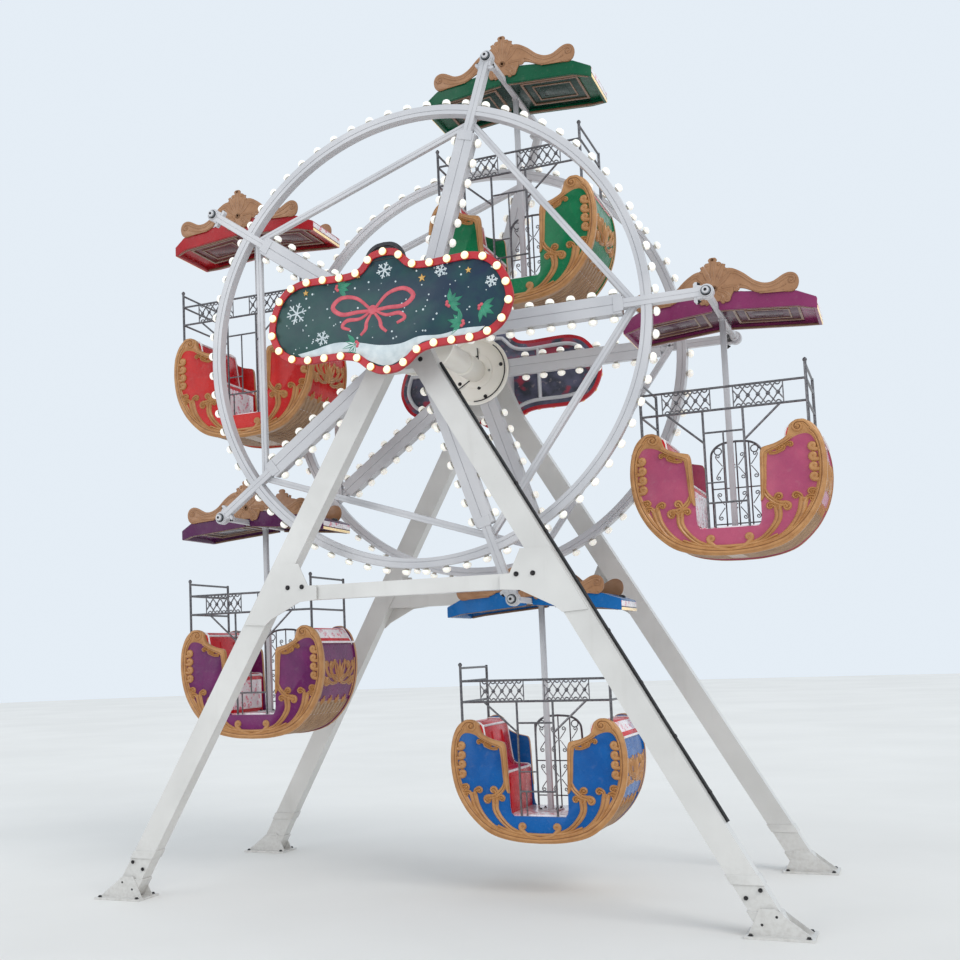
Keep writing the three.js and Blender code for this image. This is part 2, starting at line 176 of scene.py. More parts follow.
def circle(radius, count, x=0.0, z=0.0):
    a = np.linspace(0, 2 * math.pi, count, endpoint=False)
    return np.stack([x + radius * np.cos(a), z + radius * np.sin(a)], 1)


def rectangle(x0, z0, x1, z1):
    return [(x0, z0), (x1, z0), (x1, z1), (x0, z1)]


def rounded(width, depth, edge):
    """A rectangle about the origin with small rounded corners."""
    x, y = width / 2, depth / 2
    points = []
    for sx, sy in ((1, -1), (1, 1), (-1, 1), (-1, -1)):
        cuts = ((edge, 0), (edge * 0.3, edge * 0.3), (0, edge))
        corner = [(sx * (x - a), sy * (y - b)) for a, b in cuts]
        points.extend(corner if sx != sy else corner[::-1])
    return points


def scroll(stem, radius, turn, turns=1.15):
    """A stem whose end winds up: turn is 1 to the left of its run, -1 to the right. Also its eye."""
    stem = catmull(stem, 5)
    normal = turn * to_left(unit(stem[-1] - stem[-2]))
    eye = stem[-1] + normal * radius
    t = np.linspace(0, 1, int(16 * turns) + 2)[1:]
    angle = math.atan2(-normal[1], -normal[0]) + turn * turns * 2 * math.pi * t
    r = radius * (1 - 0.74 * t)
    wound = np.stack([eye[0] + r * np.cos(angle), eye[1] + r * np.sin(angle)], 1)
    return np.concatenate([stem, wound]), eye


# Sections of mouldings: across from -1 to 1, height from 0 to 1
ROLL = [(-1, -0.15), (-0.92, 0.4), (-0.65, 0.78), (-0.25, 0.98), (0.25, 0.98), (0.65, 0.78), (0.92, 0.4),
        (1, -0.15)]
REED = [(-1, -0.15), (-0.95, 0.45), (-0.7, 0.86), (-0.3, 1.0), (0.08, 0.8), (0.26, 0.38), (0.4, 0.36),
        (0.56, 0.66), (0.78, 0.68), (0.96, 0.36), (1, -0.15)]
LEAF = [(-1, -0.15), (-0.85, 0.5), (-0.5, 0.95), (-0.15, 0.62), (0, 0.42), (0.15, 0.62), (0.5, 0.95),
        (0.85, 0.5), (1, -0.15)]
FLAT_BAND = [(-1, -0.2), (-1, 0.6), (-0.9, 0.95), (0.9, 0.95), (1, 0.6), (1, -0.2)]


# Surfaces that pieces are drawn on: each turns two distances and a height into a point

def upright(side, face, hand=1, relief=1.0):
    """A face that looks to the front or back: x across, z up, h out of it."""
    return lambda x, z, h: (hand * x, side * (face + relief * h), z)


def endwise(hand, face, way=1):
    """A face that looks to the left or right: y across, z up, h out of it."""
    return lambda y, z, h: (hand * (face + way * h), y, z)


def raised(place, height):
    """The same surface, raised."""
    return lambda u, v, h: place(u, v, h + height)


def flipped(place, hand):
    """The same surface, mirrored across when hand is -1."""
    return lambda u, v, h: place(hand * u, v, h)


def single_cap(count):
    """One face that closes a ring."""
    return [tuple(range(count))]


def bent_cap(count):
    """Faces that close a long ring from side to side, so that it may be bent along its length."""
    return [(i % count, (i + 1) % count, count - 4 - i, count - 3 - i) for i in range(-1, count // 2 - 2)]


def add_object(name, data):
    made = bpy.data.objects.new(name, data)
    bpy.context.scene.collection.objects.link(made)
    return made


class Shape:
    """Vertices and faces of one object, gathered from several closed pieces."""

    def __init__(self):
        self.points = []
        self.faces = []
        self.finish = []

    def loft(self, rings, finish=0, looped=False, cap=single_cap):
        """Skins a row of closed rings that have the same number of points."""
        base = len(self.points)
        count = len(rings[0])
        for ring in rings:
            self.points.extend(tuple(map(float, p)) for p in ring)
        faces = []
        for i in range(len(rings) if looped else len(rings) - 1):
            a = base + i * count
            b = base + ((i + 1) % len(rings)) * count
            faces.extend((a + j, a + (j + 1) % count, b + (j + 1) % count, b + j) for j in range(count))
        if not looped:
            last = base + (len(rings) - 1) * count
            for face in cap(count):
                faces.append(tuple(base + j for j in face))
                faces.append(tuple(last + j for j in face))
        self.faces.extend(faces)
        self.finish.extend([finish] * len(faces))

    def plate(self, outline, place, low, high, edge=0.003, finish=0):
        """A flat plate between two heights, with its edges rounded."""
        outer = np.array(outline, float)
        near, tight = inset(outer, edge * 0.3), inset(outer, edge)
        rows = [(tight, low), (near, low + edge * 0.3), (outer, low + edge), (outer, high - edge),
                (near, high - edge * 0.3), (tight, high)]
        self.loft([[place(u, v, h) for u, v in ring] for ring, h in rows], finish)

    def moulding(self, path, width, height, place, section=ROLL, finish=0, closed=False):
        """A raised moulding along a plane path. Width and height are numbers or (start, middle, end)."""
        path = np.array(path, float)
        t = np.linspace(0, 1, len(path))
        widths, heights = (np.interp(t, (0, 0.5, 1), np.broadcast_to(size, 3)) for size in (width, height))
        rings = []
        for p, n, w, h in zip(path, normals_of(path, closed), widths, heights):
            rings.append([place(*(p + n * u * w / 2), v * h) for u, v in section])
        self.loft(rings, finish, looped=closed)

    def curl(self, stem, radius, turn, width, height, place, section=ROLL):
        """A stem of moulding that ends in a scroll with a bead at its eye."""
        path, eye = scroll(stem, radius, turn)
        widths = (width * 0.75, width, width * 0.42)
        self.moulding(path, widths, (height * 0.8, height, height * 0.9), place, section)
        self.dome(eye, radius * 0.34, height * 1.15, place)

    def dome(self, centre, radius, height, place, finish=0, sides=10):
        """A low round boss on a surface."""
        rings = [[place(u, v, -0.001) for u, v in circle(radius, sides, *centre)]]
        for k in range(4):
            a = math.pi / 2 * k / 4
            ring = circle(radius * math.cos(a), sides, *centre)
            rings.append([place(u, v, height * math.sin(a)) for u, v in ring])
        self.loft(rings, finish)

    def tube(self, path, radius, sides=8, finish=0, looped=False):
        """A round bar along a path in space."""
        path = [Vector(p) for p in path]
        count = len(path)
        rings = []
        side = None
        for i, p in enumerate(path):
            before = path[i - 1] if i or looped else p
            after = path[(i + 1) % count] if i + 1 < count or looped else p
            along = (after - before).normalized()
            if side is None:
                side = along.orthogonal()
            side = (side - along * side.dot(along)).normalized()
            up = along.cross(side)
            rings.append([p + side * u + up * v for u, v in circle(radius, sides)])
        self.loft(rings, finish, looped=looped)

    def lathe(self, profile, origin, axis, sides=16, finish=0):
        """A turned piece: profile is (radius, distance along the axis)."""
        along = Vector(axis).normalized()
        side = along.orthogonal().normalized()
        up = along.cross(side)
        start = Vector(origin)
        rings = []
        for r, d in profile:
            rings.append([start + along * d + side * u + up * v for u, v in circle(r, sides)])
        self.loft(rings, finish)

    def bar(self, a, b, width, depth, flat, edge=0.003, finish=0):
        """A straight bar of rectangular section with rounded edges; its depth lies along flat."""
        a, b = Vector(a), Vector(b)
        along = (b - a).normalized()
        v = Vector(flat)
        v = (v - along * v.dot(along)).normalized()
        u = v.cross(along)
        outline = rounded(width, depth, edge)
        self.plate(outline, lambda x, y, h: a + u * x + v * y + along * h, 0, (b - a).length, edge, finish)

    def mesh(self, name, materials, sharp=SHARP):
        """The mesh, shaded smooth where its faces meet at less than sharp degrees."""
        mesh = bpy.data.meshes.new(name)
        mesh.from_pydata(self.points, [], self.faces)
        for material in materials:
            mesh.materials.append(material)
        mesh.polygons.foreach_set("material_index", self.finish)
        work = bmesh.new()
        work.from_mesh(mesh)
        bmesh.ops.recalc_face_normals(work, faces=work.faces)
        work.to_mesh(mesh)
        work.free()
        mesh.shade_smooth()
        mesh.set_sharp_from_angle(angle=math.radians(sharp))
        return mesh

    def show(self, name, materials, body, slot, replaces=(), at=(0, 0, 0), sharp=SHARP):
        """Puts the shape in the scene as a piece of a body."""
        made = add_object(name, self.mesh(name, materials, sharp))
        made.location = at
        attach(made, body)
        if replaces:
            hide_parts(*replaces)


# Finishes

def rgb(*channels):
    """A colour given as 0 to 255, in linear light."""
    shares = [c / 255 for c in channels]
    return (*(c / 12.92 if c <= 0.04045 else ((c + 0.055) / 1.055) ** 2.4 for c in shares), 1.0)


def toned(colour, factor, lift=0):
    """A colour given as 0 to 255, scaled and then lifted."""
    return rgb(*(c * factor + lift for c in colour))


class Finish:
    """One procedural material: colours laid over each other, uneven gloss and a fine bump."""

    def __init__(self, name, roughness, metallic=0.0, coat=0.0, specular=0.5):
        self.material = bpy.data.materials.new(name)
        self.material.use_nodes = True
        self.nodes = self.material.node_tree.nodes
        self.links = self.material.node_tree.links
        self.inputs = self.nodes["Principled BSDF"].inputs
        for socket, value in (("Roughness", roughness), ("Metallic", metallic), ("Coat Weight", coat),
                              ("Coat Roughness", 0.12), ("Specular IOR Level", specular)):
            self.inputs[socket].default_value = value
        self.place = self.nodes.new("ShaderNodeTexCoord").outputs["Object"]
        self.roughness = roughness

    def feed(self, socket, value):
        """Links an output to a socket, or sets the socket to a number or colour."""
        if isinstance(value, bpy.types.NodeSocket):
            self.links.new(value, socket)
        else:
            socket.default_value = value

    def node(self, kind, inputs, **settings):
        """A new node, with its inputs fed."""
        made = self.nodes.new(f"ShaderNode{kind}")
        for key, value in settings.items():
            setattr(made, key, value)
        for key, value in inputs.items():
            self.feed(made.inputs[key], value)
        return made

    def noise(self, scale, detail, stretch=(1, 1, 1), roughness=0.55):
        place = self.node("Mapping", {"Vector": self.place, "Scale": stretch}).outputs["Vector"]
        inputs = {"Vector": place, "Scale": scale, "Detail": detail, "Roughness": roughness}
        return self.node("TexNoise", inputs).outputs["Fac"]

    def cells(self, scale):
        """The distance from the nearest of many scattered points."""
        return self.node("TexVoronoi", {"Vector": self.place, "Scale": scale}).outputs["Distance"]

    def hollows(self):
        """Low in creases, high on raised edges."""
        return self.node("NewGeometry", {}).outputs["Pointiness"]

    def along(self, axis):
        """The place along one of the object's axes."""
        return self.node("SeparateXYZ", {0: self.place}).outputs[axis]

    def range(self, value, low, high, to_low=0.0, to_high=1.0):
        inputs = {"Value": value, "From Min": low, "From Max": high, "To Min": to_low, "To Max": to_high}
        return self.node("MapRange", inputs).outputs["Result"]

    def times(self, a, b):
        return self.node("Math", {0: a, 1: b}, operation="MULTIPLY").outputs[0]

    def blend(self, under, over, share):
        """One colour laid over another where share is 1."""
        mix = self.node("Mix", {"Factor": share}, data_type="RGBA")
        for socket, colour in zip([s for s in mix.inputs if s.type == "RGBA"], (under, over)):
            self.feed(socket, colour)
        return [s for s in mix.outputs if s.type == "RGBA"][0]

    def wash(self, under, over, pattern, low, high, share=1.0):
        """One colour laid over another, the more so as a pattern runs from low to high."""
        return self.blend(under, over, self.range(pattern, low, high, 0.0, share))

    def done(self, colour, bump, uneven=None):
        """The material: bump is (scale, detail, depth, strength), uneven gloss (scale, detail, spread)."""
        self.feed(self.inputs["Base Color"], colour)
        if uneven:
            scale, detail, spread = uneven
            gloss = self.range(self.noise(scale, detail), 0.3, 0.7, self.roughness - spread,
                               self.roughness + spread)
            self.feed(self.inputs["Roughness"], gloss)
        scale, detail, depth, strength = bump
        inputs = {"Height": self.noise(scale, detail), "Distance": depth, "Strength": strength}
        self.feed(self.inputs["Normal"], self.node("Bump", inputs).outputs["Normal"])
        return self.material


def painted(name, base, shade, roughness=0.36, dirt=None, grime=0.0):
    """Brushed-on gloss paint on steel, with chips. Dirt runs down it and gathers near the ground."""
    f = Finish(name, roughness, coat=0.25)
    colour = f.wash(base, shade, f.noise(1.7, 3), 0.35, 0.65)
    if dirt:
        colour = f.wash(colour, dirt, f.noise(9, 5, (1, 1, 0.12), 0.6), 0.56, 0.78, grime * 0.5)
        specks = f.range(f.noise(34, 6), 0.42, 0.66, 0, grime)
        colour = f.blend(colour, dirt, f.times(f.range(f.along("Z"), 0.55, 0.0), specks))
    colour = f.wash(colour, rgb(120, 96, 78), f.noise(60, 3), 0.74, 0.76, 0.35)
    return f.done(colour, (48, 2, 0.0003, 0.3), (12, 4, 0.07))


def moulded(name, base, shade, roughness=0.28, coat=0.05):
    """Glossy gel coat on fibreglass: faint waviness, dull patches and fine scratches."""
    f = Finish(name, roughness, coat=coat, specular=0.2)
    colour = f.wash(base, shade, f.noise(4.5, 3), 0.3, 0.7)
    colour = f.wash(colour, rgb(196, 186, 176), f.noise(22, 6), 0.58, 0.8, 0.09)
    colour = f.wash(colour, rgb(225, 214, 206), f.noise(26, 2, (1, 1, 22)), 0.7, 0.74, 0.10)
    return f.done(colour, (28, 2, 0.0007, 0.35), (16, 5, 0.09))


def gilded(name, light, base, deep, roughness=0.42, edge=None):
    """Old-gold paint on moulded ornament: hollows brown as patina and painted shade, crests rubbed bright as
    wear and painted highlight, or lined.
    """
    f = Finish(name, roughness, 0.08, 0.15)
    colour = f.wash(base, light, f.noise(13, 5), 0.32, 0.68)
    # Hollows browned: patina, and painted shade as well
    colour = f.wash(colour, deep, f.hollows(), 0.5, 0.43)
    # Crests in the light colour, as wear and as a painted highlight; an edge colour lines them instead
    colour = f.wash(colour, edge or light, f.hollows(), 0.52, 0.62, 0.55)
    colour = f.wash(colour, deep, f.noise(40, 6), 0.6, 0.75, 0.35)
    return f.done(colour, (120, 3, 0.0006, 0.5), (30, 4, 0.1))


def printed(name, ground, ink, second):
    """A pale printed panel: round blossoms of ink with paler specks between."""
    f = Finish(name, 0.24, coat=0.5)
    blossom = f.times(f.range(f.cells(17), 0.40, 0.30), f.range(f.noise(60, 3), 0.3, 0.55))
    colour = f.blend(ground, ink, blossom)
    colour = f.wash(colour, ground, f.cells(17), 0.16, 0.10)
    colour = f.wash(colour, second, f.cells(46), 0.24, 0.18, 0.7)
    return f.done(colour, (60, 2, 0.0003, 0.3), (20, 3, 0.05))


def plain(name, base, shade, roughness, scale, coat=0.0, metallic=0.0):
    """A small even surface, such as rubber or a bolt, with some mottling."""
    f = Finish(name, roughness, metallic, coat)
    colour = f.wash(base, shade, f.noise(scale, 4), 0.35, 0.65)
    return f.done(colour, (scale * 5, 2, 0.0004, 0.4), (scale * 1.7, 3, 0.08))


def glowing(name, base, shade, glow, strength):
    """A moulded lamp cap, a little lit from inside; it also makes the roof's cream band glow, as painted
    light.
    """
    f = Finish(name, 0.5, coat=0.5)
    for socket, value in (("Emission Color", glow), ("Emission Strength", strength),
                          ("Subsurface Weight", 0.15), ("Subsurface Radius", (0.02, 0.015, 0.01))):
        f.inputs[socket].default_value = value
    f.material.cycles.emission_sampling = "NONE"
    return f.done(f.wash(base, shade, f.noise(70, 2), 0.3, 0.7), (300, 1, 0.0002, 0.3))


def sign_field():
    """The sign's field: blue-green at the left running to navy at the right, sprinkled with pale dots."""
    f = Finish("sign_field", 0.34, coat=0.08, specular=0.36)
    colour = f.wash(rgb(16, 56, 60), rgb(18, 36, 66), f.along("X"), -0.75, 0.75)
    colour = f.wash(colour, rgb(22, 82, 72), f.noise(5, 5), 0.4, 0.72, 0.6)
    dots = f.times(f.range(f.cells(15), 0.13, 0.09, 0, 0.85), f.range(f.noise(6, 1), 0.46, 0.5))
    colour = f.blend(colour, rgb(214, 226, 228), dots)
    return f.done(colour, (120, 2, 0.0002, 0.3), (14, 4, 0.06))


def rear_sheet():
    """The sign's rear sheet: slate print with crimson patches and pale blots."""
    f = Finish("rear_sheet", 0.46)
    colour = f.wash(rgb(84, 84, 106), rgb(46, 50, 62), f.noise(7, 5), 0.40, 0.62)
    colour = f.wash(colour, rgb(156, 46, 66), f.noise(4.5, 4), 0.52, 0.58, 0.9)
    colour = f.wash(colour, rgb(176, 160, 158), f.noise(16, 5), 0.62, 0.7, 0.6)
    return f.done(colour, (90, 2, 0.0003, 0.3), (14, 4, 0.06))


# WHITE and LEG_WHITE are one white paint, set greyer than its own colour as painted shade; the wheel's copy
# is painted darker than the legs', which also carry real dirt.
WHITE = painted("white_gloss", rgb(198, 197, 199), rgb(184, 184, 187))
LEG_WHITE = painted("leg_gloss", rgb(206, 204, 200), rgb(194, 192, 188), dirt=rgb(128, 118, 106), grime=0.22)
# The hub plates and the drum are the same white paint, drawn much lighter as painted light over the shade
# they sit in.
WHITE_LIT_OVER_SHADE = painted("white_lit_over_shade", rgb(246, 242, 232), rgb(234, 229, 217), 0.42)
IRON = plain("black_iron", rgb(38, 38, 42), rgb(60, 58, 60), 0.46, 30, 0.1, 0.3)
RUBBER = plain("black_rubber", rgb(20, 20, 22), rgb(36, 36, 38), 0.62, 40)
RAIL_STEEL = plain("rail_steel", rgb(120, 118, 120), rgb(84, 82, 86), 0.34, 60, 0.0, 0.75)
BOLT = plain("dark_bolt", rgb(28, 28, 31), rgb(58, 56, 56), 0.42, 60, 0.0, 0.7)
STEEL = plain("bare_steel", rgb(128, 134, 138), rgb(88, 94, 98), 0.32, 50, 0.0, 0.85)
GOLD = gilded("old_gold", rgb(184, 134, 82), rgb(160, 108, 58), rgb(104, 62, 34))
CREST_TAN = gilded("crest_tan", rgb(164, 120, 84), rgb(148, 104, 68), rgb(86, 52, 32), edge=rgb(112, 72, 46))
TAN = gilded("tan_trim", rgb(138, 106, 82), rgb(116, 86, 66), rgb(70, 48, 36))
BELLY = gilded("brown_gold", rgb(166, 132, 98), rgb(134, 102, 74), rgb(76, 54, 38), 0.34)
RED_GEL = moulded("red_gel", rgb(216, 26, 40), rgb(190, 16, 30))
WHITE_GEL = moulded("white_gel", rgb(238, 234, 234), rgb(222, 214, 214))
PRINT = printed("pink_print", rgb(240, 232, 234), rgb(226, 96, 124), rgb(236, 150, 168))
SIGN_RED = moulded("sign_red", rgb(188, 34, 46), rgb(156, 24, 36), 0.32, 0.3)
SIGN_FIELD = sign_field()
SIGN_BACK = rear_sheet()
SNOW = plain("pale_enamel_paint", rgb(206, 214, 216), rgb(180, 192, 196), 0.4, 14)
ROSE = plain("rose_paint", rgb(206, 92, 102), rgb(184, 70, 84), 0.38, 20)
LEAFY = plain("leaf_paint", rgb(46, 142, 108), rgb(34, 112, 90), 0.38, 16)
STAR = plain("star_paint", rgb(214, 172, 92), rgb(184, 136, 66), 0.36, 20)
# The roof ends' cream band is no lamp: its glow is painted light.
PAINTED_GLOW_CREAM_BAND = glowing("painted_glow_cream_band", rgb(250, 226, 176), rgb(244, 210, 150), rgb(255, 220, 160), 0.25)
LAMP = glowing("lamp_cap", rgb(250, 249, 243), rgb(242, 238, 226), rgb(255, 250, 238), 0.26)
LIT_RIM = glowing("lit_lamp_rim", rgb(240, 190, 96), rgb(222, 158, 70), rgb(255, 200, 110), 0.22)
LIT_TOP = glowing("lit_lamp_top", rgb(255, 246, 214), rgb(255, 232, 170), rgb(255, 240, 200), 0.5)
SOCKET = plain("lamp_socket", rgb(222, 218, 208), rgb(190, 184, 172), 0.4, 60)

# Each cabin's colour word, the two tones of its panels, its roof rim and its roof lining
CABIN_COLOURS = {
    1: ("green", (4, 116, 70), (2, 96, 58), (4, 84, 54), (6, 50, 38)),
    2: ("red", (200, 36, 30), (172, 24, 26), (168, 26, 34), (104, 18, 26)),
    3: ("purple", (112, 34, 92), (88, 24, 78), (84, 30, 76), (46, 14, 46)),
    4: ("blue", (0, 90, 160), (0, 74, 140), (6, 98, 166), (6, 42, 84)),
    5: ("plum", (176, 82, 108), (154, 66, 98), (132, 48, 94), (84, 28, 58)),
}
BLUE_CABIN = 4
SLOTS, PAINT, HOOD, LINING, PANE = {}, {}, {}, {}, {}
for k, (word, light, deep, hood, dark) in CABIN_COLOURS.items():
    SLOTS[k] = f"cabin_{word}"
    PAINT[k] = moulded(f"{word}_gel", rgb(*light), rgb(*deep))
    HOOD[k] = moulded(f"{word}_hood", rgb(*hood), toned(hood, 0.88))
    LINING[k] = moulded(f"{word}_lining", rgb(*dark), toned(dark, 0.8), 0.3)
    PANE[k] = moulded(f"{word}_pane", toned(dark, 0.8, 14), toned(dark, 0.6, 14), 0.22)


# A-frames

def eased(name):
    """A carried-over node in leg paint, with its sharp edges eased."""
    node = frame["nodes"][name]
    node.data.materials.clear()
    node.data.materials.append(LEG_WHITE)
    bevel = node.modifiers.new("eased_edges", "BEVEL")
    bevel.width = 0.003
    bevel.segments = 2
    bevel.limit_method = "ANGLE"
    bevel.angle_limit = math.radians(35)
    bevel.use_clamp_overlap = True


def leg_x(z):
    """How far a leg's middle stands from the wheel axis at a height."""
    return (AXIS.z - z) * LEG_TAN


def leg_y(side, z, out=0.0):
    """Where the middle plane of a leg pair lies at a height, or a distance outside it."""
    return side * (FRAME_Y + LEAN * (HEAD_LOW - z) + out)


def on_leg(side, hand, z, off, out):
    """A point of a leg's outer face: off runs over its width, out stands off the face."""
    x = hand * (leg_x(z) + off * math.cos(LEG_SLOPE))
    return Vector((AXIS.x + x, leg_y(side, z, LEG_DEPTH / 2 + out), z + off * math.sin(LEG_SLOPE)))


def bolt(shape, at, axis, radius, finish=0):
    """A hexagon head on its washer."""
    washer = [(radius * 1.35, -0.002), (radius * 1.35, 0.003), (radius * 1.05, 0.0035)]
    shape.lathe(washer, at, axis, 14, finish)
    shape.lathe([(radius, 0.003), (radius, 0.010), (radius * 0.86, 0.012)], at, axis, 6, finish)


def frames():
    for name, side in SIDES:
        for part in (f"leg_{name}_left", f"leg_{name}_right", f"crossbeam_{name}", f"head_{name}"):
            eased(part)
        frame_bolts(name, side)
        sleeves(name, side)
    leg_cable()


def frame_bolts(name, side):
    """The bolts in the beam's corner plates, the head, the sleeves and the foot plates."""
    made = Shape()
    out = (0, side, 0)
    beam_face = leg_y(side, BEAM_Z, LEG_DEPTH / 2 + 0.0103)
    for hand in BOTH:
        for dx in BEAM_BOLTS:
            bolt(made, (AXIS.x + hand * (leg_x(BEAM_Z) + dx), beam_face, BEAM_Z + 0.045), out, 0.013)
        for z in (HEAD_LOW + 0.06, HEAD_LOW + 0.22):
            bolt(made, (AXIS.x + hand * leg_x(z), side * (FRAME_Y + 0.06), z), out, 0.013)
        for z in (0.10, 0.25):
            for off in (-0.05, 0.05):
                bolt(made, on_leg(side, hand, z, off, 0.008), out, 0.010)
        for x, y in FOOT_BOLTS:
            bolt(made, (AXIS.x + hand * FOOT_X + x, side * FOOT_Y + y, 0.015), UP, 0.012)
    made.show(f"bolts_{name}", [BOLT], "frame", "shaft_steel")


def sleeves(name, side):
    """The box sleeves round the leg ends and the splice plates above them."""
    made = Shape()
    trim = 0.003
    for hand in BOTH:
        for low, high, grow in SLEEVES:
            rings = []
            for z, less in ((low, trim), (low + trim, 0.0), (high - trim, 0.0), (high, trim)):
                size = (2 * (LEG_HALF + grow / 2 - less), 2 * (LEG_DEPTH / 2 + grow / 2 - less))
                x, y = AXIS.x + hand * leg_x(z), leg_y(side, z)
                rings.append([(x + u, y + v, z) for u, v in rounded(*size, 0.006)])
            made.loft(rings)
    made.show(f"leg_sleeves_{name}", [LEG_WHITE], "frame", "white_paint")


def leg_cable():
    """The flat black cable clipped along the outer edge of the front right leg."""
    cable, clips = Shape(), Shape()
    outward = Vector((math.cos(LEG_SLOPE), 0, math.sin(LEG_SLOPE)))

    def on_edge(z, off):
        return Vector((AXIS.x + leg_x(z), leg_y(-1, z) + 0.026, z)) + outward * (LEG_WIDTH / 2 + off)

    heights = np.linspace(HEAD_LOW - 0.01, CABLE_LOW, 42)
    cable.tube([on_edge(z, 0.0105 + 0.001 * math.sin(z * 9)) for z in heights], CABLE_R, 10)
    clip = [(0.0125, -0.011), (0.0145, -0.009), (0.0145, 0.009), (0.0125, 0.011)]
    for z in np.linspace(3.55, 0.80, CABLE_CLIPS):
        clips.lathe(clip, on_edge(z, 0.0105), (LEG_TAN, 0, -1), 12)
    cable.show("leg_cable", [RUBBER], "frame", "rail_steel")
    clips.show("cable_clips", [BOLT], "frame", "rail_steel")


# Signs

SIGN = [(0, 0.498), (0.095, 0.482), (0.151, 0.431), (0.206, 0.379), (0.301, 0.361), (0.452, 0.365),
        (0.603, 0.368), (0.703, 0.353), (0.799, 0.304), (0.884, 0.190), (0.927, 0.037),
        (0.904, -0.075), (0.842, -0.172), (0.734, -0.236), (0.603, -0.257), (0.452, -0.257),
        (0.332, -0.261), (0.236, -0.287), (0.161, -0.347), (0.080, -0.391), (0, -0.402)]
SIGN_CAP = [(0.0, 0.548), (0.062, 0.540), (0.113, 0.510), (0.147, 0.463), (0.161, 0.420)]
SIGN_CAP_LOW = 0.420

# The ornament: snowflakes (x, z, radius), leaf sprays (x, z, degrees), stars (x, z, radius) and banks of snow
SNOWFLAKES = ((-0.70, 0.13, 0.080), (-0.50, -0.08, 0.055), (0.0, 0.34, 0.060), (0.42, 0.27, 0.045),
              (0.78, 0.14, 0.045))
SPRAYS = ((0.47, 0.03, 20), (0.70, -0.03, -35), (0.55, -0.12, 160), (-0.36, 0.27, 10), (-0.24, -0.16, 190))
STARS = ((0.28, 0.24, 0.030), (-0.20, 0.33, 0.020), (0.62, 0.24, 0.024), (-0.62, 0.27, 0.024))
BANK_LOW = [(-0.66, -0.205), (-0.33, -0.205), (-0.23, -0.228), (-0.14, -0.292), (0, -0.345), (0.14, -0.292),
            (0.23, -0.228), (0.33, -0.205), (0.66, -0.205)]
BANK_HIGH = [(0.72, -0.165), (0.56, -0.158), (0.40, -0.178), (0.24, -0.168), (0.10, -0.200), (-0.06, -0.190),
             (-0.22, -0.150), (-0.40, -0.128), (-0.58, -0.158), (-0.70, -0.172)]
BOW_LOOPS = (([(0.02, 0.01), (0.12, 0.10), (0.24, 0.12), (0.31, 0.06), (0.24, 0.00), (0.12, 0.00),
               (0.02, -0.005)], 0.036),
             ([(0.02, -0.01), (0.10, -0.05), (0.20, -0.05), (0.24, -0.09), (0.18, -0.12)], 0.030))
BOW_TAIL = [(0.01, -0.02), (0.05, -0.08), (0.06, -0.13), (0.10, -0.17)]
BOW_X, BOW_Z = -0.10, 0.07
FLECKS = 60


def on_sign(side, outer=True):
    """Points of a sign's face: x and z about the axis, h out of the face."""
    face = SIGN_FACE if outer else SIGN_IN
    way = side if outer else -side
    return lambda x, z, h: (AXIS.x + x, side * face + way * h, AXIS.z + z)


def signs():
    outline = mirrored(catmull(SIGN, 4))
    for name, side in SIDES:
        sign_board(name, side, outline)
        sign_picture(name, side)
        sign_lamps(name, side, outline)
        sign_rear(name, side, outline)
        sign_cap(name, side)


def sign_board(name, side, outline):
    """The red board with its raised rim, its field and the box that holds it to the frame's head."""
    made = Shape()
    place = on_sign(side)
    made.plate(outline, place, SIGN_IN - SIGN_FACE, -0.004, 0.004, 0)
    made.plate(inset(outline, SIGN_BAND - 0.004), place, -0.01, 0.0, 0.001, 1)
    made.moulding(inset(outline, SIGN_BAND / 2), SIGN_BAND, 0.012, place, FLAT_BAND, 0, closed=True)
    start, end = ((AXIS.x, side * y, AXIS.z - 0.04) for y in (FRAME_Y + 0.0603, SIGN_IN + 0.01))
    made.bar(start, end, 0.30, 0.30, UP, 0.006, 2)
    made.show(f"sign_board_{name}", [SIGN_RED, SIGN_FIELD, WHITE], "frame", "sign_board", (f"sign_{name}",))


def star(points, outer, inner, x, z):
    """A star outline with that many points."""
    loop = []
    for i in range(2 * points):
        r = inner if i % 2 else outer
        a = math.pi / 2 + math.pi * i / points
        loop.append((x + r * math.cos(a), z + r * math.sin(a)))
    return loop


def sign_picture(name, side):
    """Generic winter fairground art: a ribbon bow, snowflakes, leaf sprays with berries and a snow drift."""
    place = on_sign(side)
    art = Shape()
    rng = random.Random(7)
    art.plate(np.concatenate([catmull(BANK_LOW, 4), catmull(BANK_HIGH, 4)]), place, -0.001, 0.003, 0.001, 0)
    for hand in BOTH:
        bow(art, lambda x, z, h, hand=hand: place(hand * x + BOW_X, z + BOW_Z, h))
    art.plate(circle(0.034, 18, BOW_X, BOW_Z), place, -0.001, 0.006, 0.0015, 2)
    for x, z, r in SNOWFLAKES:
        snowflake(art, place, x, z, r)
    for x, z, turn in SPRAYS:
        spray(art, place, x, z, math.radians(turn))
    for x, z, r in STARS:
        art.plate(star(5, r, r * 0.42, x, z), place, -0.001, 0.005, 0.001, 1)
    for _ in range(FLECKS):
        x, z = rng.uniform(-0.82, 0.82), rng.uniform(-0.16, 0.30)
        art.dome((x, z), rng.uniform(0.004, 0.008), 0.0025, place, 0, 7)
    art.show(f"sign_ornament_{name}", [SNOW, STAR, ROSE, LEAFY], "frame", "sign_board")


def bow(art, place):
    """One side of a ribbon bow: two loops and a tail."""
    for loop, width in BOW_LOOPS:
        art.moulding(catmull(loop, 5), (width * 0.6, width, width * 0.7), 0.005, place, ROLL, 2)
    art.moulding(catmull(BOW_TAIL, 4), (0.018, 0.030, 0.020), 0.004, place, ROLL, 2)


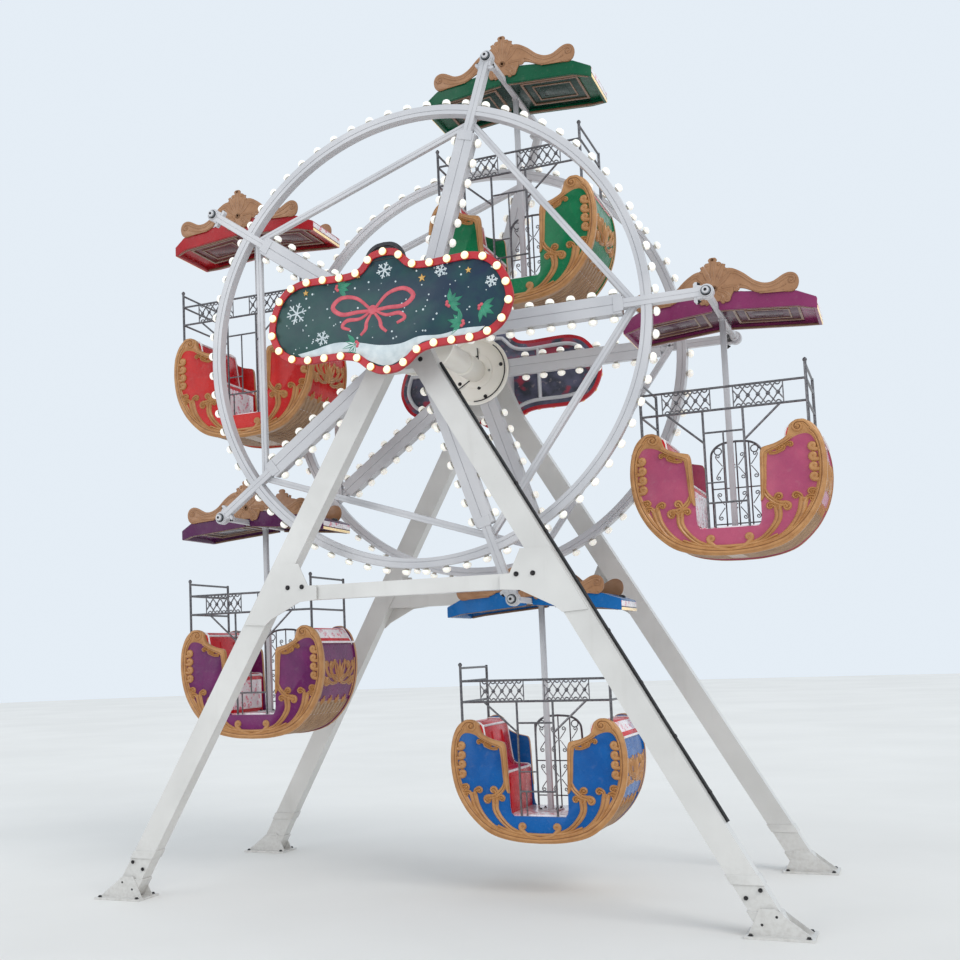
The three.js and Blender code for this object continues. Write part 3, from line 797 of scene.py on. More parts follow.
def snowflake(art, place, x, z, r):
    """Six arms with a pair of twigs each."""
    for i in range(6):
        a = math.radians(60 * i + 10)
        along = np.array((math.cos(a), math.sin(a)))
        art.moulding(even([(x, z), (x, z) + along * r], 3), 0.011, 0.004, place)
        for way in BOTH:
            b = a + way * math.radians(52)
            start = (x, z) + along * r * 0.55
            tip = start + np.array((math.cos(b), math.sin(b))) * r * 0.36
            art.moulding(even([start, tip], 3), 0.008, 0.0035, place)


def spray(art, place, x, z, turn):
    """Five pointed leaves with three berries at their foot."""
    for i in range(5):
        a = turn + math.radians(-64 + 32 * i)
        length = 0.085 if i % 2 else 0.105
        leaf = even([(x, z), (x + length * math.cos(a), z + length * math.sin(a))], 8)
        art.moulding(leaf, (0.008, 0.040, 0.003), 0.004, place, LEAF, 3)
    for degrees in (120, 180, 240):
        a = turn + math.radians(degrees)
        art.dome((x + 0.018 * math.cos(a), z + 0.018 * math.sin(a)), 0.013, 0.008, place, 2)


# A lamp cap's profile from its base: the socket, the rim and the top share a point where they meet
LAMP_PROFILE = [(0.016, -0.004), (0.019, 0.010), (0.0305, 0.012), (0.0325, 0.020), (0.031, 0.030),
                (0.026, 0.039), (0.017, 0.0455), (0.006, 0.0485)]


def lamp(shape, at, axis, scale=1.0, sides=12, top=0):
    """A round lamp cap on its socket, with its top in a finish of its own."""
    profile = [(r * scale, d * scale) for r, d in LAMP_PROFILE]
    for part, finish in ((profile[:3], 1), (profile[2:5], 0), (profile[4:], top)):
        shape.lathe(part, at, axis, sides, finish)


def sign_lamps(name, side, outline):
    """The lit lamps along a sign's rim."""
    made = Shape()
    loop = inset(outline, SIGN_BAND / 2)
    for x, z in even(np.concatenate([loop, loop[:1]]), SIGN_LAMPS + 1)[:-1]:
        at = (AXIS.x + x, side * (SIGN_FACE + 0.001), AXIS.z + z)
        lamp(made, at, (0, side, 0), SIGN_LAMP_SCALE, 16, 2)
    made.show(f"sign_lamps_{name}", [LIT_RIM, SOCKET, LIT_TOP], "frame", "sign_board")


def sign_rear(name, side, outline):
    """The tube frame and sheet on the side of a sign that faces the wheel."""
    place = on_sign(side, outer=False)
    made = Shape()
    made.plate(inset(outline, 0.03), place, -0.002, 0.004, 0.001, 1)
    made.moulding(inset(outline, 0.080), 0.034, 0.030, place, closed=True)
    for x in (-0.52, 0.38):
        made.moulding(even([(x, -0.17), (x, 0.28)], 4), 0.034, 0.030, place)
    made.moulding(even([(-0.82, 0.16), (0.82, 0.16)], 6), 0.030, 0.026, place)
    made.show(f"sign_rear_{name}", [WHITE, SIGN_BACK], "frame", "white_paint")


def sign_cap(name, side):
    """The dark arched cap on top of a sign."""
    made = Shape()
    arch = catmull(SIGN_CAP, 4)
    outline = mirrored(np.concatenate([arch, [(0.0, SIGN_CAP_LOW)]]))
    made.plate(outline, on_sign(side, outer=False), -0.018, 0.0, 0.003)
    inner = [(u * 0.80, SIGN_CAP_LOW + (v - SIGN_CAP_LOW) * 0.80) for u, v in arch]
    made.moulding(mirrored(inner), 0.010, 0.004, on_sign(side))
    made.show(f"sign_cap_{name}", [IRON], "frame", "sign_board")


# Wheels

def grooved(width, low, high, edge, groove, depth, offset=0.0):
    """A rectangular section, across and depthways, with a groove along both its faces."""
    w = width / 2
    g = groove / 2
    face = [(-w + edge, high), (offset - g, high), (offset - g * 0.6, high - depth),
            (offset + g * 0.6, high - depth), (offset + g, high), (w - edge, high),
            (w - edge * 0.3, high - edge * 0.3), (w, high - edge)]
    return face + [(-x, low + high - y) for x, y in face]


def arm_angle(k):
    """The angle at which an arm leaves the wheel axis, up from the +X side."""
    offset = PIVOTS[k] - AXIS
    return math.atan2(offset.z, offset.x)


def along_bar(side, angle, start=(0, 0)):
    """Points of a bar in a wheel: u along it, v across, h outwards from the middle plane."""
    c, s = math.cos(angle), math.sin(angle)
    return lambda u, v, h: (start[0] + u * c - v * s, side * h, start[1] + u * s + v * c)


def straight(shape, section, place, start, end):
    """A grooved bar from one end to the other along its surface's first direction."""
    tight = [(u * 0.96, h) for u, h in section]
    rows = [(tight, start), (section, start + 0.003), (section, end - 0.003), (tight, end)]
    shape.loft([[place(at, u, h) for u, h in ring] for ring, at in rows])


def wheels():
    for name, side in SIDES:
        rim(name, side)
        braces(name, side)
        hub(name, side)
        hub_wires(name, side)
        for k in PIVOTS:
            arm(name, side, k)
        wheel_lamps(name, side)
    shaft()


def rim(name, side):
    """The grooved ring that ties the arms together."""
    made = Shape()
    section = grooved(RING_WIDTH, WHEEL_IN, WHEEL_OUT, 0.006, 0.006, 0.005, -0.006)
    rings = []
    for c, s in circle(1, RING_STEPS):
        rings.append([((RING_R + u) * c, side * h, (RING_R + u) * s) for u, h in section])
    made.loft(rings, looped=True)
    made.show(f"rim_{name}", [WHITE], "wheel", "white_paint", (f"ring_{name}",), AXIS, FLAT_SHARP)


def braces(name, side):
    """The tie bars from arm to arm, which draw a pentagon inside the ring."""
    made = Shape()
    section = grooved(BRACE_WIDTH, WHEEL_IN + 0.004, BRACE_OUT, 0.004, 0.004, 0.003)
    reach = BRACE_R - BRACE_WIDTH / 2 / math.cos(math.pi / ARMS)
    corners = [(reach * math.cos(arm_angle(k)), reach * math.sin(arm_angle(k))) for k in PIVOTS]
    for (x0, z0), (x1, z1) in zip(corners, corners[1:] + corners[:1]):
        place = along_bar(side, math.atan2(z1 - z0, x1 - x0), (x0, z0))
        straight(made, section, place, 0, math.hypot(x1 - x0, z1 - z0))
    made.show(f"tie_bars_{name}", [WHITE], "wheel", "white_paint", (f"braces_{name}",), AXIS, FLAT_SHARP)


def arm(name, side, k):
    """A wide box section that steps down to a bar, with a cover plate at the step and a bearing."""
    made = Shape()
    place = along_bar(side, arm_angle(k))
    wide = grooved(ARM_WIDTH, WHEEL_IN + 0.0003, BAR_OUT, 0.006, 0.006, 0.005)
    straight(made, wide, place, ARM_START, ARM_STEP)
    narrow = grooved(BAR_WIDTH, BAR_IN, BAR_OUT, 0.005, 0.004, 0.003)
    straight(made, narrow, place, ARM_STEP - 0.03, PIVOT_R - 0.02)
    cover = [(1.475, -0.055), (1.545, -0.048), (1.545, 0.048), (1.475, 0.055)]
    made.plate(cover, place, BAR_OUT - 0.001, BAR_OUT + 0.005, 0.0015)
    bearing(made, place, side, k)
    made.show(f"spoke_{name}_{k}", [WHITE, BOLT, STEEL], "wheel", "white_paint", (f"arm_{name}_{k}",), AXIS,
              FLAT_SHARP)


def bearing(made, place, side, k):
    """The plummer block on the end of an arm, with its two bolts and the race round the cabin's pin."""
    rows = ((0.084, BASE_HALF - 0.012), (0.074, BASE_HALF), (0.058, BASE_HALF))
    base = [(PIVOT_R - back, -v) for back, v in rows] + [(PIVOT_R - back, v) for back, v in rows[::-1]]
    made.plate(base, place, BAR_IN + 0.008, BAR_OUT - 0.010, 0.003)
    angles = np.radians(np.linspace(-125, 125, 22))
    round_end = [(PIVOT_R + TIP_R * math.cos(a), TIP_R * math.sin(a)) for a in angles]
    housing = [(PIVOT_R - 0.062, 0.052), (PIVOT_R - 0.062, -0.052)]
    made.plate(round_end + housing, place, BAR_IN, BAR_OUT - 0.004, 0.005)
    out = (0, side, 0)
    centre = place(PIVOT_R, 0, BAR_OUT - 0.006)
    made.lathe([(0.041, -0.004), (0.041, 0.010), (0.038, 0.014), (0.033, 0.014)], centre, out, 28)
    made.lathe([(0.0345, 0.0), (0.0345, 0.0165), (0.030, 0.0185), (0.0262, 0.0185)], centre, out, 28, 1)
    made.lathe([(0.0300, 0.0), (0.0300, 0.026), (0.0285, 0.030), (0.0248, 0.030)], centre, out, 28, 2)
    along = (PIVOTS[k] - AXIS).normalized()
    for way in BOTH:
        ear = place(PIVOT_R - 0.060, way * 0.061, BAR_IN + 0.030)
        bolt(made, ear, along, 0.012, 1)
        made.lathe([(0.006, 0.0), (0.006, 0.020), (0.004, 0.022)], ear, along, 8, 1)


def hub(name, side):
    """A hub plate with its rim, inner ring, boss and bolts."""
    made = Shape()
    out = (0, side, 0)
    inwards = (0, -side, 0)
    face = Vector((0, side * HUB_IN, 0))
    plate = ((0.004, 0.0), (0.0, 0.003), (0.0, 0.0165), (0.003, 0.0195))
    made.lathe([(HUB_R - back, h) for back, h in plate], face, out, 72)
    lip = ((0.012, -0.001), (0.012, 0.006), (0.016, 0.008), (0.030, 0.008), (0.034, 0.006), (0.034, -0.001))
    made.lathe([(HUB_R - back, h) for back, h in lip], face, inwards, 72)
    made.lathe([(0.150, -0.001), (0.150, 0.008), (0.144, 0.012), (0.110, 0.012)], face, inwards, 48)
    made.lathe([(BOSS_R, 0.0), (BOSS_R, 0.130), (BOSS_R - 0.006, 0.1395), (JOURNAL_R, 0.1395)], face, out, 48)
    for x, z in HUB_BOLTS:
        bolt(made, face + Vector((x, 0, z)), inwards, 0.012, 1)
    for degrees in range(25, 360, 60):
        a = math.radians(degrees)
        bolt(made, (0.100 * math.cos(a), side * (BOSS_OUT - 0.001), 0.100 * math.sin(a)), out, 0.010, 1)
    made.show(f"hub_plate_{name}", [WHITE_LIT_OVER_SHADE, BOLT], "wheel", "white_paint", (f"hub_{name}",), AXIS)


def hub_wires(name, side):
    """The thin wires that run over a hub plate to the lamps."""
    made = Shape()
    angles = [math.radians(a) for a in range(50, -100, -8)]
    around = [(0.262 * math.cos(a), 0.262 * math.sin(a)) for a in angles]
    zigzag = [(0.03, 0.19), (0.036, 0.10), (0.026, 0.014), (-0.004, -0.05), (-0.079, -0.10), (-0.19, -0.168)]
    branch = [(0.03, 0.02), (-0.05, 0.06), (-0.12, 0.09)]
    for run in (around, zigzag, branch):
        made.tube([(x, side * (HUB_IN - 0.013), z) for x, z in catmull(run, 4)], 0.005, 6)
    made.show(f"hub_wires_{name}", [RUBBER], "wheel", "rail_steel", (), AXIS)


def shaft():
    """The drum between the hubs, with two collars, and the journals in the bearings."""
    made = Shape()
    axle(made, SHAFT_R, HUB_IN - 0.0003, 48, 0)
    for y in (-COLLAR_Y, COLLAR_Y):
        made.lathe([(SHAFT_R, -0.022), (SHAFT_R + 0.008, -0.018), (SHAFT_R + 0.008, 0.018), (SHAFT_R, 0.022)],
                   (0, y, 0), BACK, 48)
    axle(made, JOURNAL_R, SHAFT_END, 32, 1)
    made.show("shaft_drum", [WHITE_LIT_OVER_SHADE, STEEL], "wheel", "shaft_steel", ("main_shaft",), AXIS)


def axle(made, radius, half, sides, finish):
    """A round bar along the wheel axis, with its ends eased."""
    end = [(radius - 0.003, half), (radius, half - 0.004)]
    made.lathe([(r, -d) for r, d in end] + end[::-1], (0, 0, 0), BACK, sides, finish)


def wheel_lamps(name, side):
    """The lamps round a ring and along both edges of its arms."""
    made = Shape()
    mid = side * (WHEEL_IN + WHEEL_OUT) / 2
    deep = (WHEEL_IN + BAR_OUT) / 2
    rim_r = RING_R + RING_WIDTH / 2
    for i in range(RING_LAMPS):
        a = arm_angle(1) + 2 * math.pi * (i + 0.5) / RING_LAMPS
        lamp(made, (rim_r * math.cos(a), mid, rim_r * math.sin(a)), (math.cos(a), 0, math.sin(a)))
    for k in PIVOTS:
        place = along_bar(side, arm_angle(k))
        for i in range(ARM_LAMPS):
            r = ARM_LAMP_START + ARM_LAMP_STEP * i
            for way in BOTH:
                at, far = (Vector(place(r, way * v, deep)) for v in (ARM_WIDTH / 2, ARM_WIDTH))
                lamp(made, at, far - at)
    made.show(f"wheel_lamps_{name}", [LAMP, SOCKET], "wheel", "white_paint", (), AXIS)


# Cabin tubs

OUTER = [(0, -1.757), (0.152, -1.750), (0.304, -1.721), (0.415, -1.668), (0.527, -1.560), (0.600, -1.444),
         (0.638, -1.339), (0.656, -1.229), (0.658, -1.130), (0.646, -1.036), (0.620, -0.953)]

# A panel's gold border: x and z of its outer edge, then of its inner edge
BORDER = [
    (0, -1.757, 0, -1.704), (0.152, -1.750, 0.142, -1.689), (0.304, -1.721, 0.274, -1.654),
    (0.415, -1.668, 0.375, -1.605), (0.527, -1.560, 0.471, -1.522), (0.600, -1.444, 0.539, -1.422),
    (0.638, -1.339, 0.577, -1.331), (0.656, -1.229, 0.598, -1.227), (0.658, -1.130, 0.602, -1.130),
    (0.646, -1.036, 0.596, -1.047), (0.620, -0.953, 0.575, -0.991), (0.582, -0.898, 0.547, -0.967),
    (0.537, -0.871, 0.512, -0.964), (0.476, -0.866, 0.476, -0.973), (0.434, -0.891, 0.446, -0.988),
    (0.421, -0.931, 0.420, -1.006), (0.401, -0.973, 0.390, -1.028), (0.334, -1.008, 0.334, -1.054),
    (0.265, -1.025, 0.287, -1.074), (0.243, -1.035, 0.280, -1.088), (0.233, -1.063, 0.276, -1.113),
    (0.229, -1.107, 0.271, -1.152), (0.224, -1.240, 0.265, -1.251), (0.220, -1.350, 0.255, -1.346),
    (0.217, -1.400, 0.231, -1.395),
]
DOORWAY = [(0.215, -1.505), (0.208, -1.543), (0.192, -1.563)]
BORDER_SECTION = [(0.0, -0.0245), (-0.02, -0.010), (0.0, 0.005), (0.10, 0.011), (0.30, 0.014), (0.62, 0.013),
                  (0.86, 0.008), (1.0, -0.001), (0.5, -0.004), (0.04, -0.0245)]
TOP_SCROLL = [(0.567, -0.926), (0.531, -0.884), (0.490, -0.878)]


def border():
    """The outer and inner edge of a panel's gold border, from the bottom middle to the doorway."""
    rows = np.array(BORDER)
    return catmull(rows[:, :2], 4), catmull(rows[:, 2:], 4)


def tub_panels():
    """Both side panels in the cabin's colour."""
    made = Shape()
    outline = mirrored(np.concatenate([border()[0], DOORWAY]))
    for side in BOTH:
        made.plate(inset(outline, 0.002), upright(side, TUB_Y), -PANEL_T, 0.0, 0.004)
    return made


def tub_trim():
    """The gold scrollwork on both side panels."""
    made = Shape()
    outer, inner = border()
    middle = (outer * 0.52 + inner * 0.48)[:45:4]
    path, eye = scroll(np.concatenate([middle, TOP_SCROLL]), 0.033, 1, 1.25)
    for side in BOTH:
        for hand in BOTH:
            place = upright(side, TUB_Y, hand)
            made.loft([[place(*(a + (b - a) * t), h) for t, h in BORDER_SECTION]
                       for a, b in zip(outer, inner)])
            made.moulding(path, (0.034, 0.044, 0.024), 0.012, raised(place, TRIM_LIFT), REED)
            made.dome(eye, 0.013, 0.016, raised(place, TRIM_LIFT))
            panel_scrolls(made, place)
    return made


def panel_scrolls(made, place):
    """One panel's scrolls: along its top edge, up its doorway, two leafy stems and a row of shells."""
    top = catmull([(0.434, -0.977), (0.397, -1.001), (0.339, -1.030), (0.284, -1.050), (0.259, -1.068),
                   (0.252, -1.107), (0.249, -1.185), (0.243, -1.284), (0.236, -1.362)], 4)
    made.moulding(top, (0.030, 0.028, 0.022), 0.008, raised(place, TRIM_LIFT), REED)
    made.curl([(0.290, -1.076), (0.334, -1.076), (0.381, -1.057)], 0.015, 1, 0.030, 0.014, place, LEAF)
    made.curl([(0.334, -1.052), (0.377, -1.043), (0.425, -1.017)], 0.013, -1, 0.026, 0.014, place, LEAF)
    made.curl([(0.238, -1.315), (0.268, -1.372), (0.325, -1.420), (0.385, -1.432)], 0.017, -1, 0.046, 0.015,
              place, LEAF)
    low_stem = [(0.130, -1.690), (0.215, -1.655), (0.285, -1.590), (0.325, -1.520), (0.325, -1.440)]
    fleur(made, place, low_stem, 0.062)
    made.curl([(0.318, -1.440), (0.310, -1.400), (0.322, -1.372)], 0.016, -1, 0.038, 0.015, place, LEAF)
    high_stem = [(0.250, -1.690), (0.345, -1.648), (0.420, -1.580), (0.472, -1.495), (0.498, -1.395)]
    fleur(made, place, high_stem, 0.070)
    made.curl([(0.598, -1.384), (0.575, -1.352), (0.550, -1.345)], 0.015, 1, 0.034, 0.014, place, LEAF)
    made.curl([(0.020, -1.715), (0.090, -1.700), (0.140, -1.655)], 0.022, 1, 0.034, 0.014, place)
    for z in (-1.052, -1.121, -1.189, -1.258):
        stem = [(0.610, z - 0.022), (0.595, z - 0.024), (0.572, z - 0.021)]
        made.curl(stem, 0.021, -1, 0.038, 0.017, place)
    low = catmull([(0, -1.693), (0.111, -1.689), (0.218, -1.671), (0.314, -1.633)], 4)
    made.moulding(low, (0.020, 0.022, 0.014), 0.011, place)


def fleur(made, place, stem, width):
    """A leafy stem that widens and opens into two curled lobes."""
    widths = (width * 0.5, width * 0.72, width * 0.95)
    made.moulding(catmull(stem, 5), widths, (0.010, 0.015, 0.012), place, LEAF)
    tip = np.array(stem[-1])
    along = unit(tip - stem[-2])
    left = to_left(along)
    for turn in BOTH:
        steps = ((-0.030, 0.16), (0.006, 0.34), (0.016, 0.70))
        run = [tip + along * ahead + left * turn * width * spread for ahead, spread in steps]
        made.curl(run, 0.015, turn, 0.036, 0.015, place, LEAF)


def shell_curve():
    """The tub's outer skin, from its top edge down and round to the bottom middle."""
    outer = catmull(OUTER, 6)[::-1]
    outer = outer[outer[:, 1] < SHELL_TOP]
    return even(outer + normals_of(outer) * -SHELL_INSET, SHELL_POINTS)


def tub_shell():
    """The bent skin between the panels: coloured at the ends and brown gold beneath, with its floor."""
    made = Shape()
    half = shell_curve()
    full = np.concatenate([half, (half[:-1] * (-1, 1))[::-1]])
    inner = full + normals_of(full) * -SHELL_T
    reach = TUB_Y - PANEL_T + 0.002
    last = len(full) - 1
    stops = (0, SHELL_COLOURED, last - SHELL_COLOURED, last)
    for start, end, finish in zip(stops, stops[1:], (0, 1, 0)):
        rings = []
        for (x0, z0), (x1, z1) in zip(full[start:end + 1], inner[start:end + 1]):
            rings.append([(x0, -reach, z0), (x0, reach, z0), (x1, reach, z1), (x1, -reach, z1)])
        made.loft(rings, finish)
    made.bar((-0.50, 0, FLOOR - 0.006), (0.50, 0, FLOOR - 0.006), 0.012, 2 * reach, BACK, 0.002, 2)
    for hand in BOTH:
        made.tube([(hand * 0.640, y, SHELL_TOP + 0.001) for y in (-reach, reach)], 0.009, 8, 2)
    return made


def on_shell(hand):
    """Points of the skin: a across the cabin, s down from the top edge, h out of it."""
    curve = shell_curve()
    run = run_of(curve)
    out = normals_of(curve)

    def place(a, s, h):
        x, z, nx, nz = (np.interp(s, run, row) for row in (*curve.T, *out.T))
        h *= SHELL_RELIEF
        return (hand * (x + nx * h), a * SHELL_SPREAD, z + nz * h)

    return place


# The end relief's curls, to one side of the middle: stem, scroll radius, turn, width and height
END_CURLS = (
    ([(0.030, 0.300), (0.110, 0.285), (0.185, 0.240), (0.215, 0.200)], 0.030, -1, 0.042, 0.020),
    ([(0.150, 0.262), (0.220, 0.262), (0.290, 0.225), (0.318, 0.185)], 0.024, -1, 0.036, 0.018),
    ([(0.040, 0.315), (0.130, 0.325), (0.210, 0.310), (0.262, 0.285)], 0.026, 1, 0.036, 0.018),
    ([(0.200, 0.318), (0.270, 0.335), (0.330, 0.312)], 0.022, -1, 0.030, 0.015),
    ([(0.080, 0.235), (0.105, 0.195), (0.102, 0.160)], 0.018, 1, 0.028, 0.016),
)


def end_relief():
    """The gold relief on both ends of the tub: a fan of leaves, curls and a row of flames below."""
    made = Shape()
    for hand in BOTH:
        place = on_shell(hand)
        for degrees in range(-75, 76, 25):
            a = math.radians(degrees)
            length = 0.15 - 0.03 * abs(math.sin(a))
            tip = (length * math.sin(a) * 1.15, 0.285 - length * math.cos(a))
            stem = [(0.0, 0.295), (tip[0] * 0.5, 0.295 - (0.295 - tip[1]) * 0.55), tip]
            made.moulding(even(stem, 9), (0.016, 0.046, 0.006), (0.012, 0.020, 0.008), place, LEAF)
        made.dome((0.0, 0.295), 0.026, 0.026, place, 0, 14)
        for way in BOTH:
            here = flipped(place, way)
            for curl in END_CURLS:
                made.curl(*curl, here, LEAF)
            edge = even([(0.352, 0.120), (0.354, 0.300), (0.345, 0.440)], 12)
            made.moulding(edge, (0.016, 0.024, 0.014), 0.012, here)
        for a in (-0.24, -0.08, 0.08, 0.24):
            for lean, size in ((-0.035, 0.05), (0.0, 0.075), (0.035, 0.05)):
                flame = [(a, 0.500), (a + lean * 0.6, 0.500 - size * 0.6), (a + lean, 0.500 - size)]
                made.moulding(even(flame, 7), (0.010, 0.026, 0.004), 0.013, place, LEAF)
    return made


def belly_reeds():
    """The reeds that run on beneath the tub from the relief on its ends."""
    made = Shape()
    for hand in BOTH:
        place = on_shell(hand)
        for a in (-0.32 + 0.08 * i for i in range(9)):
            path = [(a, 0.490), (a * 0.92 + 0.012, 0.62), (a * 0.84 - 0.012, 0.78), (a * 0.80 + 0.01, 0.94),
                    (a * 0.78, 1.09)]
            made.moulding(catmull(path, 5), (0.020, 0.040, 0.030), (0.010, 0.013, 0.006), place, REED)
    return made


# Seats

SEAT = [(0.229, -1.554), (0.229, -1.268), (0.237, -1.247), (0.255, -1.238), (0.334, -1.233), (0.357, -1.220),
        (0.369, -1.185), (0.403, -0.936), (0.417, -0.904), (0.446, -0.886), (0.537, -0.884), (0.559, -0.893),
        (0.620, -0.988), (0.626, -1.030), (0.636, -1.130), (0.634, -1.229), (0.616, -1.334), (0.579, -1.433),
        (0.512, -1.538), (0.494, -1.554)]
BACK_TOP, BACK_LOW = 11, 12


def seats():
    """Two facing benches: red shells with white rolled edges, ribs and pale printed panels."""
    made = Shape()
    reach = TUB_Y - PANEL_T - 0.0003
    edge = catmull(SEAT[1:14], 3)
    edge = edge - normals_of(edge) * 0.004
    for hand in BOTH:
        made.plate(SEAT, lambda x, z, h, hand=hand: (hand * x, h, z), -reach, reach, 0.006)
        for side in BOTH:
            made.tube([(hand * x, side * (reach - 0.010), z) for x, z in edge], 0.0095, 8, 1)
        for x, z, radius in ((0.235, -1.252, 0.010), (0.409, -0.914, 0.009)):
            made.tube([(hand * x, y, z) for y in (0.01 - reach, reach - 0.01)], radius, 8, 1)
        front = endwise(hand, 0.226, -1)
        made.plate(rectangle(-0.262, -1.529, 0.262, -1.290), front, -0.002, 0.003, 0.001, 3)
        back_panel(made, hand)
        for y in (-0.12, 0.12):
            rib = [(hand * x, y, z) for x, z in ((0.371, -1.152), (0.385, -1.052), (0.399, -0.964))]
            made.tube(rib, 0.007)
    made.bar((-0.48, 0, FLOOR + 0.004), (0.48, 0, FLOOR + 0.004), 0.008, 2 * reach, BACK, 0.001, 2)
    return made


def back_panel(made, hand):
    """The printed panel on the slanted outside of a seat back."""
    low, high = np.array(SEAT[BACK_LOW]), np.array(SEAT[BACK_TOP])
    along = unit(high - low)
    out = -to_left(along)
    length = np.linalg.norm(high - low)

    def place(y, s, h):
        x, z = low + along * s + out * h
        return (hand * x, y, z)

    made.plate(rectangle(-0.284, 0.022, 0.284, length - 0.006), place, -0.002, 0.004, 0.001, 2)


# Railings

def rail(made, *points, radius=IRON_R, sides=8):
    """A round bar through the points given."""
    made.tube(points, radius, sides)


def railing():
    """The railing: corner posts, rails, lattice panels and the bars in the near doorway."""
    made = Shape()
    y = -GUARD_Y
    for hand in BOTH:
        x = hand * GUARD_X
        rail(made, (x, y, -0.890), (x, y, -0.465), radius=0.0105)
        rail(made, (x, GUARD_Y, -0.890), (x, GUARD_Y, -0.472), radius=0.0105)
        made.lathe([(0.004, -0.018), (0.012, -0.010), (0.016, 0.0), (0.012, 0.010), (0.004, 0.017)],
                   (x, y, -0.456), UP, 12)
        made.lathe([(0.008, -0.004), (0.011, 0.0), (0.008, 0.006)], (x, GUARD_Y, -0.472), UP, 10)
        rail(made, (hand * GATE_X, y, FLOOR + 0.001), (hand * GATE_X, y, RAILS[1]))
        rail(made, (hand * (GATE_X + 0.005), y, -0.958), (hand * 0.385, y, RAILS[1]), radius=IRON_R * 0.9)
        for z in (-0.480, *RAILS):
            rail(made, (x, y, z), (x, GUARD_Y, z))
        lattice(made, y, hand)
    for z in RAILS:
        rail(made, (-GUARD_X, y, z), (GUARD_X, y, z))
    for z in (-0.892, -1.387):
        rail(made, (-GATE_X, y, z), (GATE_X, y, z), radius=0.007)
    rail(made, (-0.004, y, -0.892), (-0.004, y, -1.387), radius=0.006)
    rail(made, (-GATE_X, y, -1.245), (-0.004, y, -1.245), radius=0.0055)
    rail(made, (-0.090, y, -1.387), (-0.090, y, FLOOR + 0.001), radius=0.006)
    return made


def lattice(made, y, hand):
    """Crossed bars between the rails, with a knob at each crossing and small half rings at the rails."""
    high, low = RAILS
    mid, half = (low + high) / 2, (high - low) / 2
    end = LATTICE_START + CELL * CELLS
    for i in range(CELLS):
        x = LATTICE_START + CELL * (i + 0.5)
        for sx in BOTH:
            for sz in BOTH:
                run = [(x + sx * CELL * u, mid + sz * half * v) for u, v in LATTICE_BAR]
                if not LATTICE_START - 0.004 < run[2][0] < end + 0.004:
                    run = run[:2]
                made.tube([(hand * u, y, z) for u, z in catmull(run, 3)], 0.0054, 6)
        made.lathe([(0.004, -0.012), (0.012, -0.008), (0.0155, 0.0), (0.012, 0.008), (0.004, 0.012)],
                   (hand * x, y, mid), BACK, 8)
        for sz in BOTH:
            arc = [(hand * (x + 0.017 * math.cos(a)), y, mid + sz * (half - 0.004) - sz * 0.019 * math.sin(a))
                   for a in np.linspace(0, math.pi, 7)]
            made.tube(arc, 0.0050, 6)
    for x in (LATTICE_START, end):
        rail(made, (hand * x, y, low), (hand * x, y, high), radius=0.0048, sides=6)


def gate():
    """The arched gate that closes the far doorway, with scrolls between its bars."""
    made = Shape()
    y = GUARD_Y
    half = catmull([(ARCH_X, FLOOR + 0.001), (ARCH_X, -1.284), (ARCH_X, -1.008), (0.165, -0.928),
                    (0.100, -0.882), (0, -0.871)], 5)
    full = np.concatenate([half[:-1], (half * (-1, 1))[::-1]])
    made.tube([(x, y, z) for x, z in full], IRON_R)
    for x, top in ((-0.092, -0.886), (0.0, -0.873), (0.092, -0.886)):
        rail(made, (x, y, FLOOR + 0.001), (x, y, top), radius=0.0055)
    for z in (-1.218, -1.483):
        rail(made, (-ARCH_X, y, z), (ARCH_X, y, z), radius=0.005, sides=6)
    for hand in BOTH:
        for z, way in ((-1.00, 1), (-1.11, -1), (-1.29, 1), (-1.41, -1)):
            for x in (0.010, 0.102):
                stem = [(x, z - 0.050 * way), (x + 0.036, z), (x + 0.046, z + 0.018 * way)]
                path, _ = scroll(stem, 0.017, way, 1.2)
                made.tube([(hand * u, y, v) for u, v in path], 0.0038, 6)
        ring = [(hand * u, y, v) for u, v in circle(0.026, 16, 0.130, -0.936)]
        made.tube(ring, 0.0045, 6, looped=True)
    return made


# Roofs

# Half profiles of the rim's upper and lower edge and of the ceiling: all fall from the middle to the ends
RIM_TOP = ((0, 0.105), (0.540, 0.030), (0.700, -0.031))
RIM_LOW = ((0, -0.030), (0.540, -0.076), (0.700, -0.104))
UNDERSIDE = ((0, 0.004), (0.540, -0.042), (0.700, -0.070))

# The bands on a roof's end: lower and upper edge, finish
END_BANDS = ((-0.068, -0.028, 1), (-0.075, -0.068, 2), (-0.096, -0.075, 3))

# The rings of the low top: how far each is squeezed lengthways, drawn in sideways and raised
HIP = ((1.0, 0.0, -0.004), (0.94, 0.060, 0.006), (0.82, 0.150, 0.016), (0.62, 0.225, 0.022))


def sloped(profile, x, lift=0.0):
    """The height of a half profile at x."""
    xs, zs = zip(*profile)
    return float(np.interp(abs(x), xs, zs)) + lift


def roof_ring(drop, profile, lift=0.0, notch=None):
    """The roof's plan drawn in by drop, as a ring at the heights of a profile."""
    x1, y1 = ROOF_X - 0.003 - drop, ROOF_Y - drop
    fold = FOLD_X - drop * 0.4
    end = FOLD_Y - drop * 0.4
    run = (fold, 0.270, NOTCH_X + 0.002, NOTCH_X, -NOTCH_X, -NOTCH_X - 0.002, -0.270, -fold)
    ring = []
    for way in (1, -1):
        for x in run:
            cut = notch is not None and abs(x) == NOTCH_X
            ring.append((way * x, way * y1, notch if cut else sloped(profile, x, lift)))
        for y in (end, -end):
            ring.append((-way * x1, way * y, sloped(profile, x1, lift)))
    return ring


